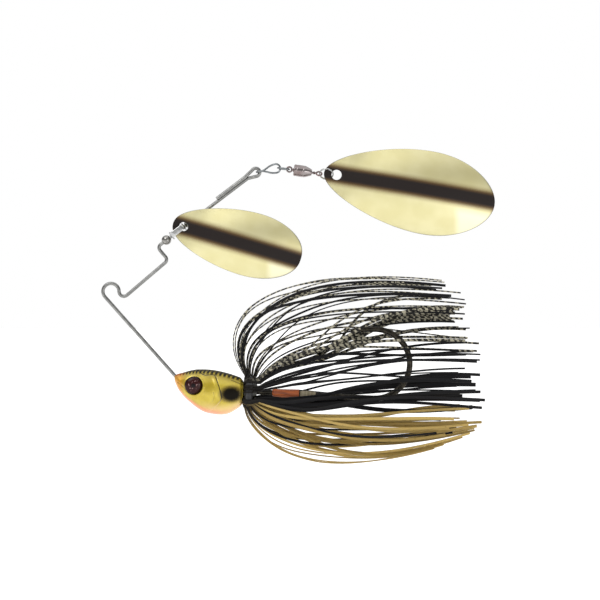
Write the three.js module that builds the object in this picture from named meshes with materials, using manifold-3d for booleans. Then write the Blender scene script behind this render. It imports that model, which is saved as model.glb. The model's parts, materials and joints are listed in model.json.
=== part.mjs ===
// A tandem-blade spinnerbait: one bent wire carries a lead fish head with a hook and a silicone skirt
// on its lower arm, and two cupped metal blades on its upper arm. The front blade turns on a clevis, and
// the rear blade hangs from a snap, a ring, a ball-bearing swivel and a split ring.
// Millimetres. The origin is the centre of the line tie. +X points to the lure's tail, +Z is up, and -Y
// is the lure's left flank.
import * as THREE from "three";
import { mergeVertices } from "three/addons/utils/BufferGeometryUtils.js";
import Module from "manifold-3d";

const wasm = await Module();
wasm.setup();

const { degToRad, radToDeg, clamp, lerp, smoothstep } = THREE.MathUtils;

// ---- Clearances ----
const SLACK = 0.1; // between two linked wires at rest
const RUNNING = 0.1; // radial, round a wire or a shaft that something turns on
const CAST_GAP = 0.12; // between the lead and what is cast into it
const TRIM_GAP = 0.3; // between the soft pieces and their neighbours

// ---- Wire frame ----
const WIRE_D = 0.9;
const TIE_R = 2.08; // centre line of the open bend that takes the line
const DIP_R = 1.25;
const LOWER_ARM = 27.5;
const LOWER_ARM_ANGLE = -48.4;
const UPPER_LEG = 14.0;
const UPPER_LEG_ANGLE = 40.4;
const KINK_LEG = 4.4;
const KINK_ANGLE = 130.6;
const KINK_R = 1.1;
const TOP_ARM = 31.95; // from the kink to the centre of the end loop
const TOP_ARM_ANGLE = 37.2;
const LOOP_R = 1.05;
const LOOP_NECK = 2.6; // where the wire leaves its line to go round the loop
const TAIL = 12.2; // from the centre of the loop to the end of the doubled wire
const TAIL_RISE = 0.62;
const TAIL_FORWARD = 0.78;
const ROOT_CORNER_R = 1.0;

// ---- Beads, clevis and stop on the upper arm: places are measured from the kink ----
const BEAD_D = 2.5;
const BEAD_AT = 3.0;
const UPPER_BEAD_D = 2.2;
const STOP_LENGTH = 1.8;
const STOP_D = 1.7;
const STRIP_WIDTH = 1.5;
const STRIP_THICKNESS = 0.4;
const EAR_D = 2.3;
const CLEVIS_SPAN = 3.5; // clear length between its two legs
const CLEVIS_REACH = 3.1; // from the wire's axis to the inside of the bow
const BEAD_GAP = 0.35;

// ---- Blades ----
const FRONT_BLADE = {
  length: 34.2,
  width: 16.6,
  holeInset: 2.85,
  holeR: 1.15,
  thickness: 0.55,
  cup: 2.2,
  neckPower: 0.32,
  tipPower: 0.42,
};
const REAR_BLADE = {
  length: 44.9,
  width: 21.6,
  holeInset: 3.3,
  holeR: 1.3,
  thickness: 0.5,
  cup: 2.8,
  neckPower: 0.38,
  tipPower: 0.5,
};
const BLADE_SKEW = 1.4; // moves the widest point beyond the middle
const BLADE_FLAT = 0.13; // share of the length at the neck that isn't cupped
const FRONT_BLADE_ANGLE = -15.0;

// ---- Snap, rings and swivel ----
const SNAP_WIRE_D = 0.5;
const SNAP_LENGTH = 6.2;
const SNAP_NARROW_R = 0.95;
const SNAP_WIDE_R = 1.15;
const SNAP_ANGLE = 11.0;
const SNAP_TWIST = 84;
const RING_R = 1.45;
const RING_WIRE_D = 0.5;
const RING_ANGLE = -7;
const EYE_WIRE_D = 0.45;
const FRONT_EYE_R = 0.65;
const REAR_EYE_R = 0.7;
const SWIVEL_ANGLE = -8.0;
const BARREL_D = 3.0;
const BARREL_LENGTH = 2.8;
const CONE_LENGTH = 1.9;
const CONE_END_D = 1.5;
const BARREL_WALL = 0.4;
const FRONT_NECK = 0.5; // shaft showing between the front eye and the barrel
const REAR_NECK = 1.2;
const SHAFT_D = 0.7;
const FLANGE_THICKNESS = 0.4;
const BALL_D = 0.5;
const BALL_COUNT = 6;
const BALL_GAP = 0.04;
const SPLIT_RING_R = 1.75;
const SPLIT_RING_WIRE_D = 0.45;
const SPLIT_RING_ANGLE = -2.0;
const SPLIT_RING_TILT = 45; // its plane leans this far from the blade's
const BLADE_SLACK = 0.17;
const REAR_BLADE_ANGLE = -11.2;

// ---- Head, eyes and hook: places are measured from where the wire leaves the nose ----
const HEAD_LENGTH = 17.7;
const HEAD_HEIGHT = 11.9;
const HEAD_WIDTH = 9.2;
const EYE_D = 4.6;
const EYE_AT = { x: 4.8, z: -2.2 };
const EYE_THICKNESS = 0.6;
const EYE_DOME = 0.5;
const EYE_SEAT = 3.3; // from the middle of the head to the floor of the eye's socket
const WIRE_INSIDE = { drop: 1.46, hook: 4.6 }; // below the nose, and down through the hook's eye
const HOOK_WIRE_D = 1.36;
const HOOK_EYE_R = 1.3;
const HOOK_EYE_WIRE_D = 1.1;
const HOOK_EYE_AT = { x: 10.8, z: -3.4 };
const BEND_R = 8.9;
const BEND_AT = { x: 51.6, z: 3.25 };
const POINT_AT = { x: 44.8, z: 12.07 };
const POINT_TAPER = 4.2;
const POINT_END_R = 0.06;
const STEM_D = 5.2;
const STEM_LENGTH = 3.6; // behind the head
const STEM_ROOT = 1.2; // inside the head
const BAND_D = 8.0;
const BAND_WIDTH = 2.0;
const SLEEVE = { at: 14.2, length: 6.9, thin: 1.9, thick: 2.4 };
const WRAP = { gap: 0.3, length: 4.0, diameter: 1.95 };

// ---- Skirt: six soft fans, three on each side of the hook ----
// Each border runs as a cubic curve from the band to the tips, in millimetres from the nose.
const SKIRT_BORDERS = {
  top: [[19.3, 1.2], [10.5, 16], [25, 29.5], [73.2, 25.0]],
  upper: [[21.9, -0.9], [27.5, 7], [43.5, 10], [79.0, 9.0]],
  lower: [[21.9, -6.6], [29.5, -8], [45.5, -11], [79.5, -11.0]],
  bottom: [[19.3, -8.3], [19.3, -16.3], [38.3, -31.0], [76.0, -15.5]],
};
const SKIRT_INSIDE = [1.8, 2.45]; // half the slot that the hook lies in, at the band and at the tips
const SKIRT_OUTSIDE = [4.4, 8.2];

const material = (color, metalness, roughness) =>
  new THREE.MeshStandardMaterial({ color, metalness, roughness });
const FINISH = {
  wire: material(0x8f9193, 0.9, 0.3),
  silver: material(0xc9cac8, 0.95, 0.2),
  nickel: material(0x4b4347, 0.9, 0.25),
  gold: material(0xded4a0, 0.8, 0.35),
  paint: material(0xb5a552, 0.3, 0.3),
  eye: material(0x3a2424, 0.2, 0.1),
  hook: material(0x3d342c, 0.9, 0.3),
  rubber: material(0x16161a, 0, 0.6),
  orange: material(0xe0622a, 0, 0.4),
  wrap: material(0xb59c76, 0, 0.6),
  barred: material(0x8d8d7c, 0, 0.5),
  black: material(0x17171b, 0, 0.45),
  olive: material(0xa08650, 0, 0.45),
};

const lure = new THREE.Group();

function addMesh(parent, name, geometry, finish) {
  const mesh = new THREE.Mesh(geometry, finish);
  mesh.name = name;
  parent.add(mesh);
  return mesh;
}

// A frame at x, z in the middle plane, whose own X axis is raised by `angle` degrees.
function linkFrame(parent, name, x, z, angle = 0) {
  const frame = new THREE.Group();
  frame.name = name;
  frame.position.set(x, 0, z);
  frame.rotation.y = -degToRad(angle);
  parent.add(frame);
  return frame;
}

// ---- Booleans ----
function solidOf(geometry) {
  const bare = geometry.clone();
  for (const name of Object.keys(bare.attributes)) {
    if (name !== "position") bare.deleteAttribute(name);
  }
  const merged = mergeVertices(bare, 1e-4);
  const index = merged.index.array;
  const kept = [];
  for (let i = 0; i < index.length; i += 3) {
    const [a, b, c] = index.slice(i, i + 3);
    if (a !== b && b !== c && c !== a) kept.push(a, b, c);
  }
  const mesh = new wasm.Mesh({
    numProp: 3,
    vertProperties: new Float32Array(merged.attributes.position.array),
    triVerts: new Uint32Array(kept),
  });
  return new wasm.Manifold(mesh);
}

function geometryOf(solid) {
  const { vertProperties, triVerts } = solid.getMesh();
  const geometry = new THREE.BufferGeometry();
  geometry.setAttribute("position", new THREE.BufferAttribute(vertProperties, 3));
  geometry.setIndex(new THREE.BufferAttribute(triVerts, 1));
  return geometry;
}

const joined = (base, ...others) =>
  geometryOf(others.reduce((sum, next) => sum.add(solidOf(next)), solidOf(base)));
const cut = (base, ...tools) =>
  geometryOf(tools.reduce((left, next) => left.subtract(solidOf(next)), solidOf(base)));

// ---- Shapes ----
const round = (radius, length, sides = 20) =>
  new THREE.CylinderGeometry(radius, radius, length, sides);
const alongX = (geometry) => geometry.rotateZ(-Math.PI / 2);

// A ring whose axis is Y, with its centre on the X axis.
function ringGeometry(radius, wireD, x) {
  return new THREE.TorusGeometry(radius, wireD / 2, 8, 24).rotateX(Math.PI / 2).translate(x, 0, 0);
}

// A turned piece on the X axis, from closed [x, radius] corners.
function turned(corners, sides = 20) {
  const profile = [...corners, corners[0]].map(([x, r]) => new THREE.Vector2(r, x));
  return alongX(new THREE.LatheGeometry(profile, sides));
}

// A closed skin over rings of points that run the same way round, with a fan over each end.
function skin(rings) {
  const count = rings[0].length;
  const points = rings.flat();
  const faces = [];
  for (let i = 0; i + 1 < rings.length; i += 1) {
    for (let j = 0; j < count; j += 1) {
      const a = i * count + j;
      const b = i * count + ((j + 1) % count);
      faces.push(a, b, a + count, b, b + count, a + count);
    }
  }
  const ends = [rings[0], rings.at(-1)];
  ends.forEach((ring, end) => {
    const middle = ring.reduce((sum, p) => sum.add(p), new THREE.Vector3()).divideScalar(count);
    const first = end ? (rings.length - 1) * count : 0;
    points.push(middle);
    for (let j = 0; j < count; j += 1) {
      const a = first + j;
      const b = first + ((j + 1) % count);
      faces.push(...(end ? [a, b, points.length - 1] : [b, a, points.length - 1]));
    }
  });
  const geometry = new THREE.BufferGeometry().setFromPoints(points);
  geometry.setIndex(faces);
  return geometry;
}

// An arc in the middle plane about x, z, between two angles in degrees.
class PlaneArc extends THREE.Curve {
  constructor(x, z, radius, from, to) {
    super();
    Object.assign(this, { x, z, radius, from, to });
  }

  getPoint(t, target = new THREE.Vector3()) {
    const angle = degToRad(lerp(this.from, this.to, t));
    const x = this.x + this.radius * Math.cos(angle);
    const z = this.z + this.radius * Math.sin(angle);
    return target.set(x, 0, z);
  }
}

// A bent wire: straight legs take one step each, and arcs a step for every 20 degrees or so.
class WirePath extends THREE.CurvePath {
  constructor(start) {
    super();
    this.end = start.clone();
    this.pieces = [];
  }

  add(curve, steps = 1) {
    super.add(curve);
    this.end = curve.getPoint(1);
    this.cacheLengths = null;
    this.pieces.push(steps);
    return this;
  }

  lineTo(x, z, y = 0) {
    return this.add(new THREE.LineCurve3(this.end, new THREE.Vector3(x, y, z)));
  }

  arc(x, z, radius, from, to) {
    return this.add(new PlaneArc(x, z, radius, from, to), Math.ceil(Math.abs(to - from) / 20));
  }

  get steps() {
    return this.pieces.reduce((sum, steps) => sum + steps, 0);
  }

  getUtoTmapping(u) {
    const lengths = this.getCurveLengths();
    const place = u * this.steps;
    let before = 0;
    let index = 0;
    while (index < this.pieces.length - 1 && place >= before + this.pieces[index]) {
      before += this.pieces[index];
      index += 1;
    }
    const from = index ? lengths[index - 1] : 0;
    const share = clamp((place - before) / this.pieces[index], 0, 1);
    return lerp(from, lengths[index], share) / lengths.at(-1);
  }

  getSpacedPoints(divisions) {
    return Array.from({ length: divisions + 1 }, (_, i) => this.getPointAt(i / divisions));
  }
}

function circleShape(radius, sides) {
  const points = [];
  for (let i = 0; i < sides; i += 1) {
    const angle = (2 * Math.PI * i) / sides;
    points.push(new THREE.Vector2(radius * Math.cos(angle), radius * Math.sin(angle)));
  }
  return new THREE.Shape(points);
}

function rod(path, radius, sides = 10) {
  const options = { steps: path.steps, extrudePath: path, bevelEnabled: false };
  return new THREE.ExtrudeGeometry(circleShape(radius, sides), options);
}

// Corners of a bent wire in the middle plane, joined by straight legs and rounded by one radius.
function roundedLegs(path, corners, radius) {
  corners.forEach((corner, i) => {
    const next = corners[i + 1];
    if (!next) {
      path.lineTo(corner.x, corner.z);
      return;
    }
    const into = new THREE.Vector2(corner.x - path.end.x, corner.z - path.end.z).normalize();
    const out = new THREE.Vector2(next.x - corner.x, next.z - corner.z).normalize();
    const turn = Math.atan2(into.cross(out), into.dot(out));
    const inset = radius * Math.tan(Math.abs(turn) / 2);
    const side = Math.sign(turn);
    const startX = corner.x - into.x * inset;
    const startZ = corner.z - into.y * inset;
    const centreX = startX - into.y * radius * side;
    const centreZ = startZ + into.x * radius * side;
    const from = radToDeg(Math.atan2(startZ - centreZ, startX - centreX));
    path.lineTo(startX, startZ);
    path.arc(centreX, centreZ, radius, from, from + radToDeg(turn));
  });
  return path;
}

const polar = (x, z, length, angle) => ({
  x: x + length * Math.cos(degToRad(angle)),
  z: z + length * Math.sin(degToRad(angle)),
});

// ---- Places that the wire's legs set ----
const tieStart = polar(0, 0, TIE_R, LOWER_ARM_ANGLE - 90);
const nose = polar(tieStart.x, tieStart.z, LOWER_ARM, LOWER_ARM_ANGLE);
const dipCentre = { x: TIE_R + DIP_R, z: 0 };
const dipEnd = polar(dipCentre.x, dipCentre.z, DIP_R, UPPER_LEG_ANGLE - 90);
const kinkOut = polar(dipEnd.x, dipEnd.z, UPPER_LEG, UPPER_LEG_ANGLE);
const kinkIn = polar(kinkOut.x, kinkOut.z, KINK_LEG, KINK_ANGLE);
const loopCentre = polar(kinkIn.x, kinkIn.z, TOP_ARM, TOP_ARM_ANGLE);

const headFrame = linkFrame(lure, "head_frame", nose.x, nose.z);
const armFrame = linkFrame(lure, "arm_frame", kinkIn.x, kinkIn.z, TOP_ARM_ANGLE);

// The wire from its buried end, through the hook's eye and out of the nose, to the end of its tail.
function wirePath() {
  const run = WIRE_INSIDE.drop / Math.tan(degToRad(-LOWER_ARM_ANGLE));
  const corner = { x: nose.x + run, z: nose.z - WIRE_INSIDE.drop };
  const hookCorner = { x: nose.x + HOOK_EYE_AT.x, z: corner.z };
  const path = new WirePath(new THREE.Vector3(hookCorner.x, 0, hookCorner.z - WIRE_INSIDE.hook));
  roundedLegs(path, [hookCorner, corner, tieStart], ROOT_CORNER_R);
  path.arc(0, 0, TIE_R, LOWER_ARM_ANGLE + 270, 0);
  path.arc(dipCentre.x, dipCentre.z, DIP_R, 180, UPPER_LEG_ANGLE + 270);
  const along = (length, rise = 0) => {
    const point = polar(loopCentre.x, loopCentre.z, -length, TOP_ARM_ANGLE);
    return polar(point.x, point.z, rise, TOP_ARM_ANGLE + 90);
  };
  const neck = along(LOOP_NECK);
  roundedLegs(path, [kinkOut, kinkIn, neck], KINK_R);
  const open = radToDeg(Math.acos(LOOP_R / LOOP_NECK));
  const back = TOP_ARM_ANGLE + 180;
  const touch = polar(loopCentre.x, loopCentre.z, LOOP_R, back + open);
  path.lineTo(touch.x, touch.z);
  path.arc(loopCentre.x, loopCentre.z, LOOP_R, back + open, back + 360 - open);
  const tailStart = along(LOOP_NECK + 0.6, TAIL_RISE);
  const tailEnd = along(TAIL, TAIL_RISE);
  path.lineTo(tailStart.x, tailStart.z, -TAIL_FORWARD);
  path.lineTo(tailEnd.x, tailEnd.z, -TAIL_FORWARD);
  return path;
}

// ---- Upper arm ----
const earStart = BEAD_AT + BEAD_D / 2 + BEAD_GAP;
const legLow = earStart + STRIP_THICKNESS / 2;
const legHigh = legLow + CLEVIS_SPAN + STRIP_THICKNESS;
const upperBeadAt = legHigh + STRIP_THICKNESS / 2 + RUNNING + UPPER_BEAD_D / 2;
const stopAt = upperBeadAt + UPPER_BEAD_D / 2 + RUNNING + STOP_LENGTH / 2;

function beadGeometry(diameter) {
  const bore = WIRE_D / 2 + RUNNING;
  const half = Math.acos(bore / (diameter / 2));
  const corners = [];
  for (let i = 0; i <= 10; i += 1) {
    const angle = lerp(-half, half, i / 10);
    corners.push([(diameter / 2) * Math.sin(angle), (diameter / 2) * Math.cos(angle)]);
  }
  return turned(corners, 18);
}

// A strip folded into a U: both ears ride on the wire, and the bow stands out toward -Y.
function clevisGeometry() {
  const low = legLow - STRIP_THICKNESS / 2;
  const high = legHigh + STRIP_THICKNESS / 2;
  const outer = CLEVIS_REACH + STRIP_THICKNESS;
  const corner = 0.7;
  const outline = new THREE.Shape();
  outline.moveTo(low, 0);
  outline.lineTo(low, -outer + corner);
  outline.absarc(low + corner, -outer + corner, corner, Math.PI, 1.5 * Math.PI);
  outline.lineTo(high - corner, -outer);
  outline.absarc(high - corner, -outer + corner, corner, 1.5 * Math.PI, 2 * Math.PI);
  outline.lineTo(high, 0);
  outline.lineTo(high - STRIP_THICKNESS, 0);
  outline.lineTo(high - STRIP_THICKNESS, -CLEVIS_REACH + corner);
  outline.lineTo(high - STRIP_THICKNESS - corner / 2, -CLEVIS_REACH);
  outline.lineTo(low + STRIP_THICKNESS + corner / 2, -CLEVIS_REACH);
  outline.lineTo(low + STRIP_THICKNESS, -CLEVIS_REACH + corner);
  outline.lineTo(low + STRIP_THICKNESS, 0);
  const options = { depth: STRIP_WIDTH, bevelEnabled: false, curveSegments: 4 };
  const strip = new THREE.ExtrudeGeometry(outline, options).translate(0, 0, -STRIP_WIDTH / 2);
  const ear = (x) => alongX(round(EAR_D / 2, STRIP_THICKNESS)).translate(x, 0, 0);
  const bore = alongX(round(WIRE_D / 2 + RUNNING, 2 * (high - low), 16)).translate(legLow, 0, 0);
  return cut(joined(strip, ear(legLow), ear(legHigh)), bore);
}

// A blade with its hole at the origin: X runs to the tip, Z across it, and it bulges toward -Y.
function bladeGeometry(blade) {
  const stations = 24;
  const across = 10;
  const rings = [];
  for (let i = 0; i <= stations; i += 1) {
    const u = clamp((1 - Math.cos((Math.PI * i) / stations)) / 2, 0.003, 0.997);
    const swell = Math.sin(Math.PI * u ** BLADE_SKEW);
    const power = u ** BLADE_SKEW < 0.5 ? blade.neckPower : blade.tipPower;
    const half = (blade.width / 2) * swell ** power;
    const cupped = clamp((u - BLADE_FLAT) / (1 - BLADE_FLAT), 0, 1);
    const bulge = blade.cup * Math.sin(Math.PI * cupped);
    const ring = [];
    for (const side of [-1, 1]) {
      for (let j = 0; j <= across; j += 1) {
        const v = side * lerp(-1, 1, j / across);
        const y = (side * blade.thickness) / 2 - bulge * (1 - v * v);
        ring.push(new THREE.Vector3(u * blade.length - blade.holeInset, y, half * v));
      }
    }
    rings.push(ring);
  }
  return cut(skin(rings), round(blade.holeR, 4 * blade.thickness, 24));
}

// ---- Snap, rings and swivel ----
// An egg-shaped loop of wire from the arm's loop to the ring: its narrow end lies flat and its wide end
// is twisted upright.
function snapGeometry() {
  const wideX = SNAP_LENGTH - SNAP_WIDE_R;
  const lean = Math.asin((SNAP_WIDE_R - SNAP_NARROW_R) / (wideX - SNAP_NARROW_R));
  const half = [];
  for (let i = 0; i <= 4; i += 1) {
    const angle = lerp(Math.PI, Math.PI / 2 + lean, i / 4);
    half.push([SNAP_NARROW_R * (1 + Math.cos(angle)), SNAP_NARROW_R * Math.sin(angle)]);
  }
  for (let i = 1; i < 4; i += 1) {
    half.push([lerp(SNAP_NARROW_R, wideX, i / 4), lerp(SNAP_NARROW_R, SNAP_WIDE_R, i / 4)]);
  }
  for (let i = 0; i <= 4; i += 1) {
    const angle = lerp(Math.PI / 2 + lean, 0, i / 4);
    half.push([wideX + SNAP_WIDE_R * Math.cos(angle), SNAP_WIDE_R * Math.sin(angle)]);
  }
  const flat = [...half, ...half.slice(1, -1).reverse().map(([x, side]) => [x, -side])];
  const points = flat.map(([x, side]) => {
    const twist = degToRad(SNAP_TWIST) * smoothstep(x / SNAP_LENGTH, 0.15, 0.85);
    return new THREE.Vector3(x, side * Math.cos(twist), side * Math.sin(twist));
  });
  const curve = new THREE.CatmullRomCurve3(points, true);
  return new THREE.TubeGeometry(curve, 44, SNAP_WIRE_D / 2, 8, true);
}

const snapStart = LOOP_R - WIRE_D / 2 - SLACK - SNAP_WIRE_D / 2;
const snapFrame = linkFrame(armFrame, "snap_swing", TOP_ARM, 0, SNAP_ANGLE - TOP_ARM_ANGLE);
snapFrame.translateX(snapStart);
const ringInSnap = SNAP_LENGTH - SNAP_WIRE_D / 2 - SLACK - RING_WIRE_D / 2;
const ringFrame = linkFrame(snapFrame, "ring_swing", ringInSnap, 0, RING_ANGLE - SNAP_ANGLE);
const swivelFrame = linkFrame(ringFrame, "swivel_swing", 2 * RING_R, 0, SWIVEL_ANGLE - RING_ANGLE);

// Places along the swivel's axis, from the ring's wire.
const frontEyeAt = FRONT_EYE_R - EYE_WIRE_D / 2 - SLACK - RING_WIRE_D / 2;
const barrelStart = frontEyeAt + FRONT_EYE_R + FRONT_NECK;
const barrelEnd = barrelStart + BARREL_LENGTH;
const coneEnd = barrelEnd + CONE_LENGTH;
const shoulder = barrelEnd;
const rearFlangeEnd = shoulder - BALL_D - 2 * BALL_GAP;
const frontFlangeStart = barrelStart + BARREL_WALL + BALL_GAP;
const rearEyeAt = coneEnd + REAR_NECK + REAR_EYE_R;
const ballCircle = BARREL_D / 2 - BARREL_WALL - BALL_D / 2 - BALL_GAP;
const flangeR = BARREL_D / 2 - BARREL_WALL - RUNNING;

function barrelGeometry() {
  const inside = BARREL_D / 2 - BARREL_WALL;
  const bore = SHAFT_D / 2 + RUNNING / 2;
  return turned([
    [barrelStart, bore],
    [barrelStart, BARREL_D / 2 - 0.25],
    [barrelStart + 0.25, BARREL_D / 2],
    [barrelEnd, BARREL_D / 2],
    [coneEnd, CONE_END_D / 2],
    [coneEnd, bore],
    [shoulder, bore],
    [shoulder, inside],
    [barrelStart + BARREL_WALL, inside],
    [barrelStart + BARREL_WALL, bore],
  ]);
}

function eyeWithShaft(eye, shaftEnd, flangeFrom, flangeTo) {
  const length = Math.abs(shaftEnd);
  const shaft = alongX(round(SHAFT_D / 2, length, 12)).translate(shaftEnd / 2, 0, 0);
  const thickness = Math.abs(flangeTo - flangeFrom);
  const flange = alongX(round(flangeR, thickness, 16)).translate((flangeFrom + flangeTo) / 2, 0, 0);
  return joined(eye, shaft, flange);
}

// The front eye's shaft starts inside its ring's wire, and the head on it is held in the barrel.
function frontEyeGeometry() {
  const edge = frontEyeAt + FRONT_EYE_R;
  const flange = [frontFlangeStart - edge, frontFlangeStart + FLANGE_THICKNESS - edge];
  const eye = ringGeometry(FRONT_EYE_R, EYE_WIRE_D, -FRONT_EYE_R);
  return eyeWithShaft(eye, flange[1], ...flange).translate(edge, 0, 0);
}

function rearEyeGeometry() {
  const edge = rearEyeAt - REAR_EYE_R;
  const flange = [rearFlangeEnd - edge, rearFlangeEnd - FLANGE_THICKNESS - edge];
  const eye = ringGeometry(REAR_EYE_R, EYE_WIRE_D, REAR_EYE_R);
  eye.rotateX(degToRad(SPLIT_RING_TILT - 90));
  return eyeWithShaft(eye, flange[1], ...flange).translate(edge, 0, 0);
}

const splitRingIn = rearEyeAt + REAR_EYE_R - EYE_WIRE_D / 2 - SLACK - SPLIT_RING_WIRE_D / 2;
const splitRingFrame = linkFrame(
  swivelFrame,
  "split_ring_swing",
  splitRingIn,
  0,
  SPLIT_RING_ANGLE - SWIVEL_ANGLE,
);
const rearBladeFrame = linkFrame(
  splitRingFrame,
  "rear_blade_swing",
  2 * SPLIT_RING_R,
  0,
  REAR_BLADE_ANGLE - SPLIT_RING_ANGLE,
);

function buildRearChain() {
  addMesh(snapFrame, "snap", snapGeometry(), FINISH.wire);
  const ring = new THREE.TorusGeometry(RING_R, RING_WIRE_D / 2, 8, 24).translate(RING_R, 0, 0);
  addMesh(ringFrame, "solid_ring", ring, FINISH.wire);
  addMesh(swivelFrame, "swivel_barrel", barrelGeometry(), FINISH.nickel);
  addMesh(swivelFrame, "swivel_front_eye", frontEyeGeometry(), FINISH.nickel);
  addMesh(swivelFrame, "swivel_rear_eye", rearEyeGeometry(), FINISH.nickel);
  for (let i = 0; i < BALL_COUNT; i += 1) {
    const angle = (2 * Math.PI * i) / BALL_COUNT;
    const ball = new THREE.SphereGeometry(BALL_D / 2, 10, 8);
    ball.translate(shoulder - BALL_GAP - BALL_D / 2, 0, ballCircle).rotateX(angle);
    addMesh(swivelFrame, `swivel_ball_${i + 1}`, ball, FINISH.silver);
  }
  const splitRing = ringGeometry(SPLIT_RING_R, SPLIT_RING_WIRE_D, SPLIT_RING_R);
  splitRing.rotateX(degToRad(SPLIT_RING_TILT));
  addMesh(splitRingFrame, "split_ring", splitRing, FINISH.silver);
  const blade = bladeGeometry(REAR_BLADE);
  blade.translate(REAR_BLADE.holeR - SPLIT_RING_WIRE_D / 2 - BLADE_SLACK, 0, 0);
  addMesh(rearBladeFrame, "rear_blade", blade, FINISH.gold);
}

function buildUpperArm() {
  const lowerBead = beadGeometry(BEAD_D).translate(BEAD_AT, 0, 0);
  const upperBead = beadGeometry(UPPER_BEAD_D).translate(upperBeadAt, 0, 0);
  addMesh(armFrame, "lower_bead", lowerBead, FINISH.silver);
  addMesh(armFrame, "upper_bead", upperBead, FINISH.silver);
  addMesh(armFrame, "front_clevis", clevisGeometry(), FINISH.silver);
  const stop = turned([
    [stopAt - STOP_LENGTH / 2, STOP_D / 2],
    [stopAt + STOP_LENGTH / 2, STOP_D / 2],
    [stopAt + STOP_LENGTH / 2, WIRE_D / 2 + RUNNING / 2],
    [stopAt - STOP_LENGTH / 2, WIRE_D / 2 + RUNNING / 2],
  ]);
  addMesh(armFrame, "stop_crimp", stop, FINISH.silver);
  const swing = FRONT_BLADE_ANGLE - TOP_ARM_ANGLE;
  const bladeFrame = linkFrame(armFrame, "front_blade_swing", legHigh, 0, swing);
  const mesh = addMesh(bladeFrame, "front_blade", bladeGeometry(FRONT_BLADE), FINISH.gold);
  mesh.position.y = -(EAR_D / 2 + CLEVIS_REACH) / 2;
}

// ---- Head, eyes and hook ----
const HEAD_LINE = new THREE.CubicInterpolant([0, 0.03, 0.11, 0.24, 0.4, 0.57, 0.78, 1], [
  // top, bottom and half width, as shares of the head's height and half its width
  0.02, -0.1, 0.16,
  0.045, -0.21, 0.36,
  0.078, -0.39, 0.6,
  0.132, -0.58, 0.84,
  0.155, -0.75, 1.0,
  0.138, -0.82, 1.0,
  0.07, -0.81, 0.93,
  -0.04, -0.62, 0.8,
], 3);

function headGeometry() {
  const stations = 18;
  const sides = 22;
  const rings = [];
  for (let i = 0; i <= stations; i += 1) {
    const share = (i / stations) ** 1.5;
    const [top, bottom, wide] = Array.from(HEAD_LINE.evaluate(share));
    const ring = [];
    for (let j = 0; j < sides; j += 1) {
      const angle = (2 * Math.PI * j) / sides;
      const y = (HEAD_WIDTH / 2) * wide * Math.cos(angle);
      const z = (HEAD_HEIGHT / 2) * (top + bottom + (top - bottom) * Math.sin(angle));
      ring.push(new THREE.Vector3(share * HEAD_LENGTH - 0.25, y, z));
    }
    rings.push(ring);
  }
  return skin(rings);
}

const toBend = new THREE.Vector2(BEND_AT.x - HOOK_EYE_AT.x, BEND_AT.z - HOOK_EYE_AT.z);
const shankTurn = Math.atan2(toBend.y, toBend.x) - Math.asin(BEND_R / toBend.length());
const shankAngle = radToDeg(shankTurn);
const shankFrame = linkFrame(headFrame, "shank_frame", HOOK_EYE_AT.x, HOOK_EYE_AT.z, shankAngle);
const shankFrom = HOOK_EYE_R * 0.95;

// The hook in the head's frame: an eye lying flat, a straight shank, a round bend and a tapered point.
function hookGeometry(extra = 0) {
  const start = polar(HOOK_EYE_AT.x, HOOK_EYE_AT.z, shankFrom, shankAngle);
  const path = new WirePath(new THREE.Vector3(start.x, 0, start.z));
  const low = polar(BEND_AT.x, BEND_AT.z, BEND_R, shankAngle - 90);
  path.lineTo(low.x, low.z);
  const reach = { x: POINT_AT.x - BEND_AT.x, z: POINT_AT.z - BEND_AT.z };
  const distance = Math.hypot(reach.x, reach.z);
  const top = radToDeg(Math.atan2(reach.z, reach.x) - Math.acos(BEND_R / distance));
  path.arc(BEND_AT.x, BEND_AT.z, BEND_R, shankAngle - 90, top);
  const leg = Math.sqrt(distance ** 2 - BEND_R ** 2);
  const taperFrom = polar(POINT_AT.x, POINT_AT.z, POINT_TAPER, top - 90);
  if (leg > POINT_TAPER) path.lineTo(taperFrom.x, taperFrom.z);
  const radius = HOOK_WIRE_D / 2 + extra;
  const point = new THREE.CylinderGeometry(POINT_END_R, radius, POINT_TAPER + 0.02, 12);
  point.translate(0, POINT_TAPER / 2, 0);
  point.rotateX(Math.PI / 2).rotateY(-degToRad(top));
  point.translate(taperFrom.x, 0, taperFrom.z);
  const eye = new THREE.TorusGeometry(HOOK_EYE_R, HOOK_EYE_WIRE_D / 2 + extra, 8, 20);
  eye.translate(HOOK_EYE_AT.x, 0, HOOK_EYE_AT.z);
  return joined(rod(path, radius, 12), point, eye);
}

function eyeGeometry(side) {
  const radius = EYE_D / 2;
  const profile = [[0, 0], [radius, 0], [radius, EYE_THICKNESS]];
  for (let i = 1; i <= 5; i += 1) {
    const out = 1 - i / 5;
    profile.push([radius * out, EYE_THICKNESS + EYE_DOME * (1 - out ** 2)]);
  }
  const points = profile.map(([r, y]) => new THREE.Vector2(r, y));
  const disc = new THREE.LatheGeometry(points, 24);
  if (side < 0) disc.rotateX(Math.PI);
  return disc.translate(EYE_AT.x, side * EYE_SEAT, EYE_AT.z);
}

function socket(side) {
  const tool = round(EYE_D / 2 + CAST_GAP, HEAD_WIDTH, 24);
  return tool.translate(EYE_AT.x, side * (EYE_SEAT - CAST_GAP + HEAD_WIDTH / 2), EYE_AT.z);
}

const stemStart = HEAD_LENGTH - HOOK_EYE_AT.x - STEM_ROOT;
const bandStart = HEAD_LENGTH - HOOK_EYE_AT.x + TRIM_GAP;

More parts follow.
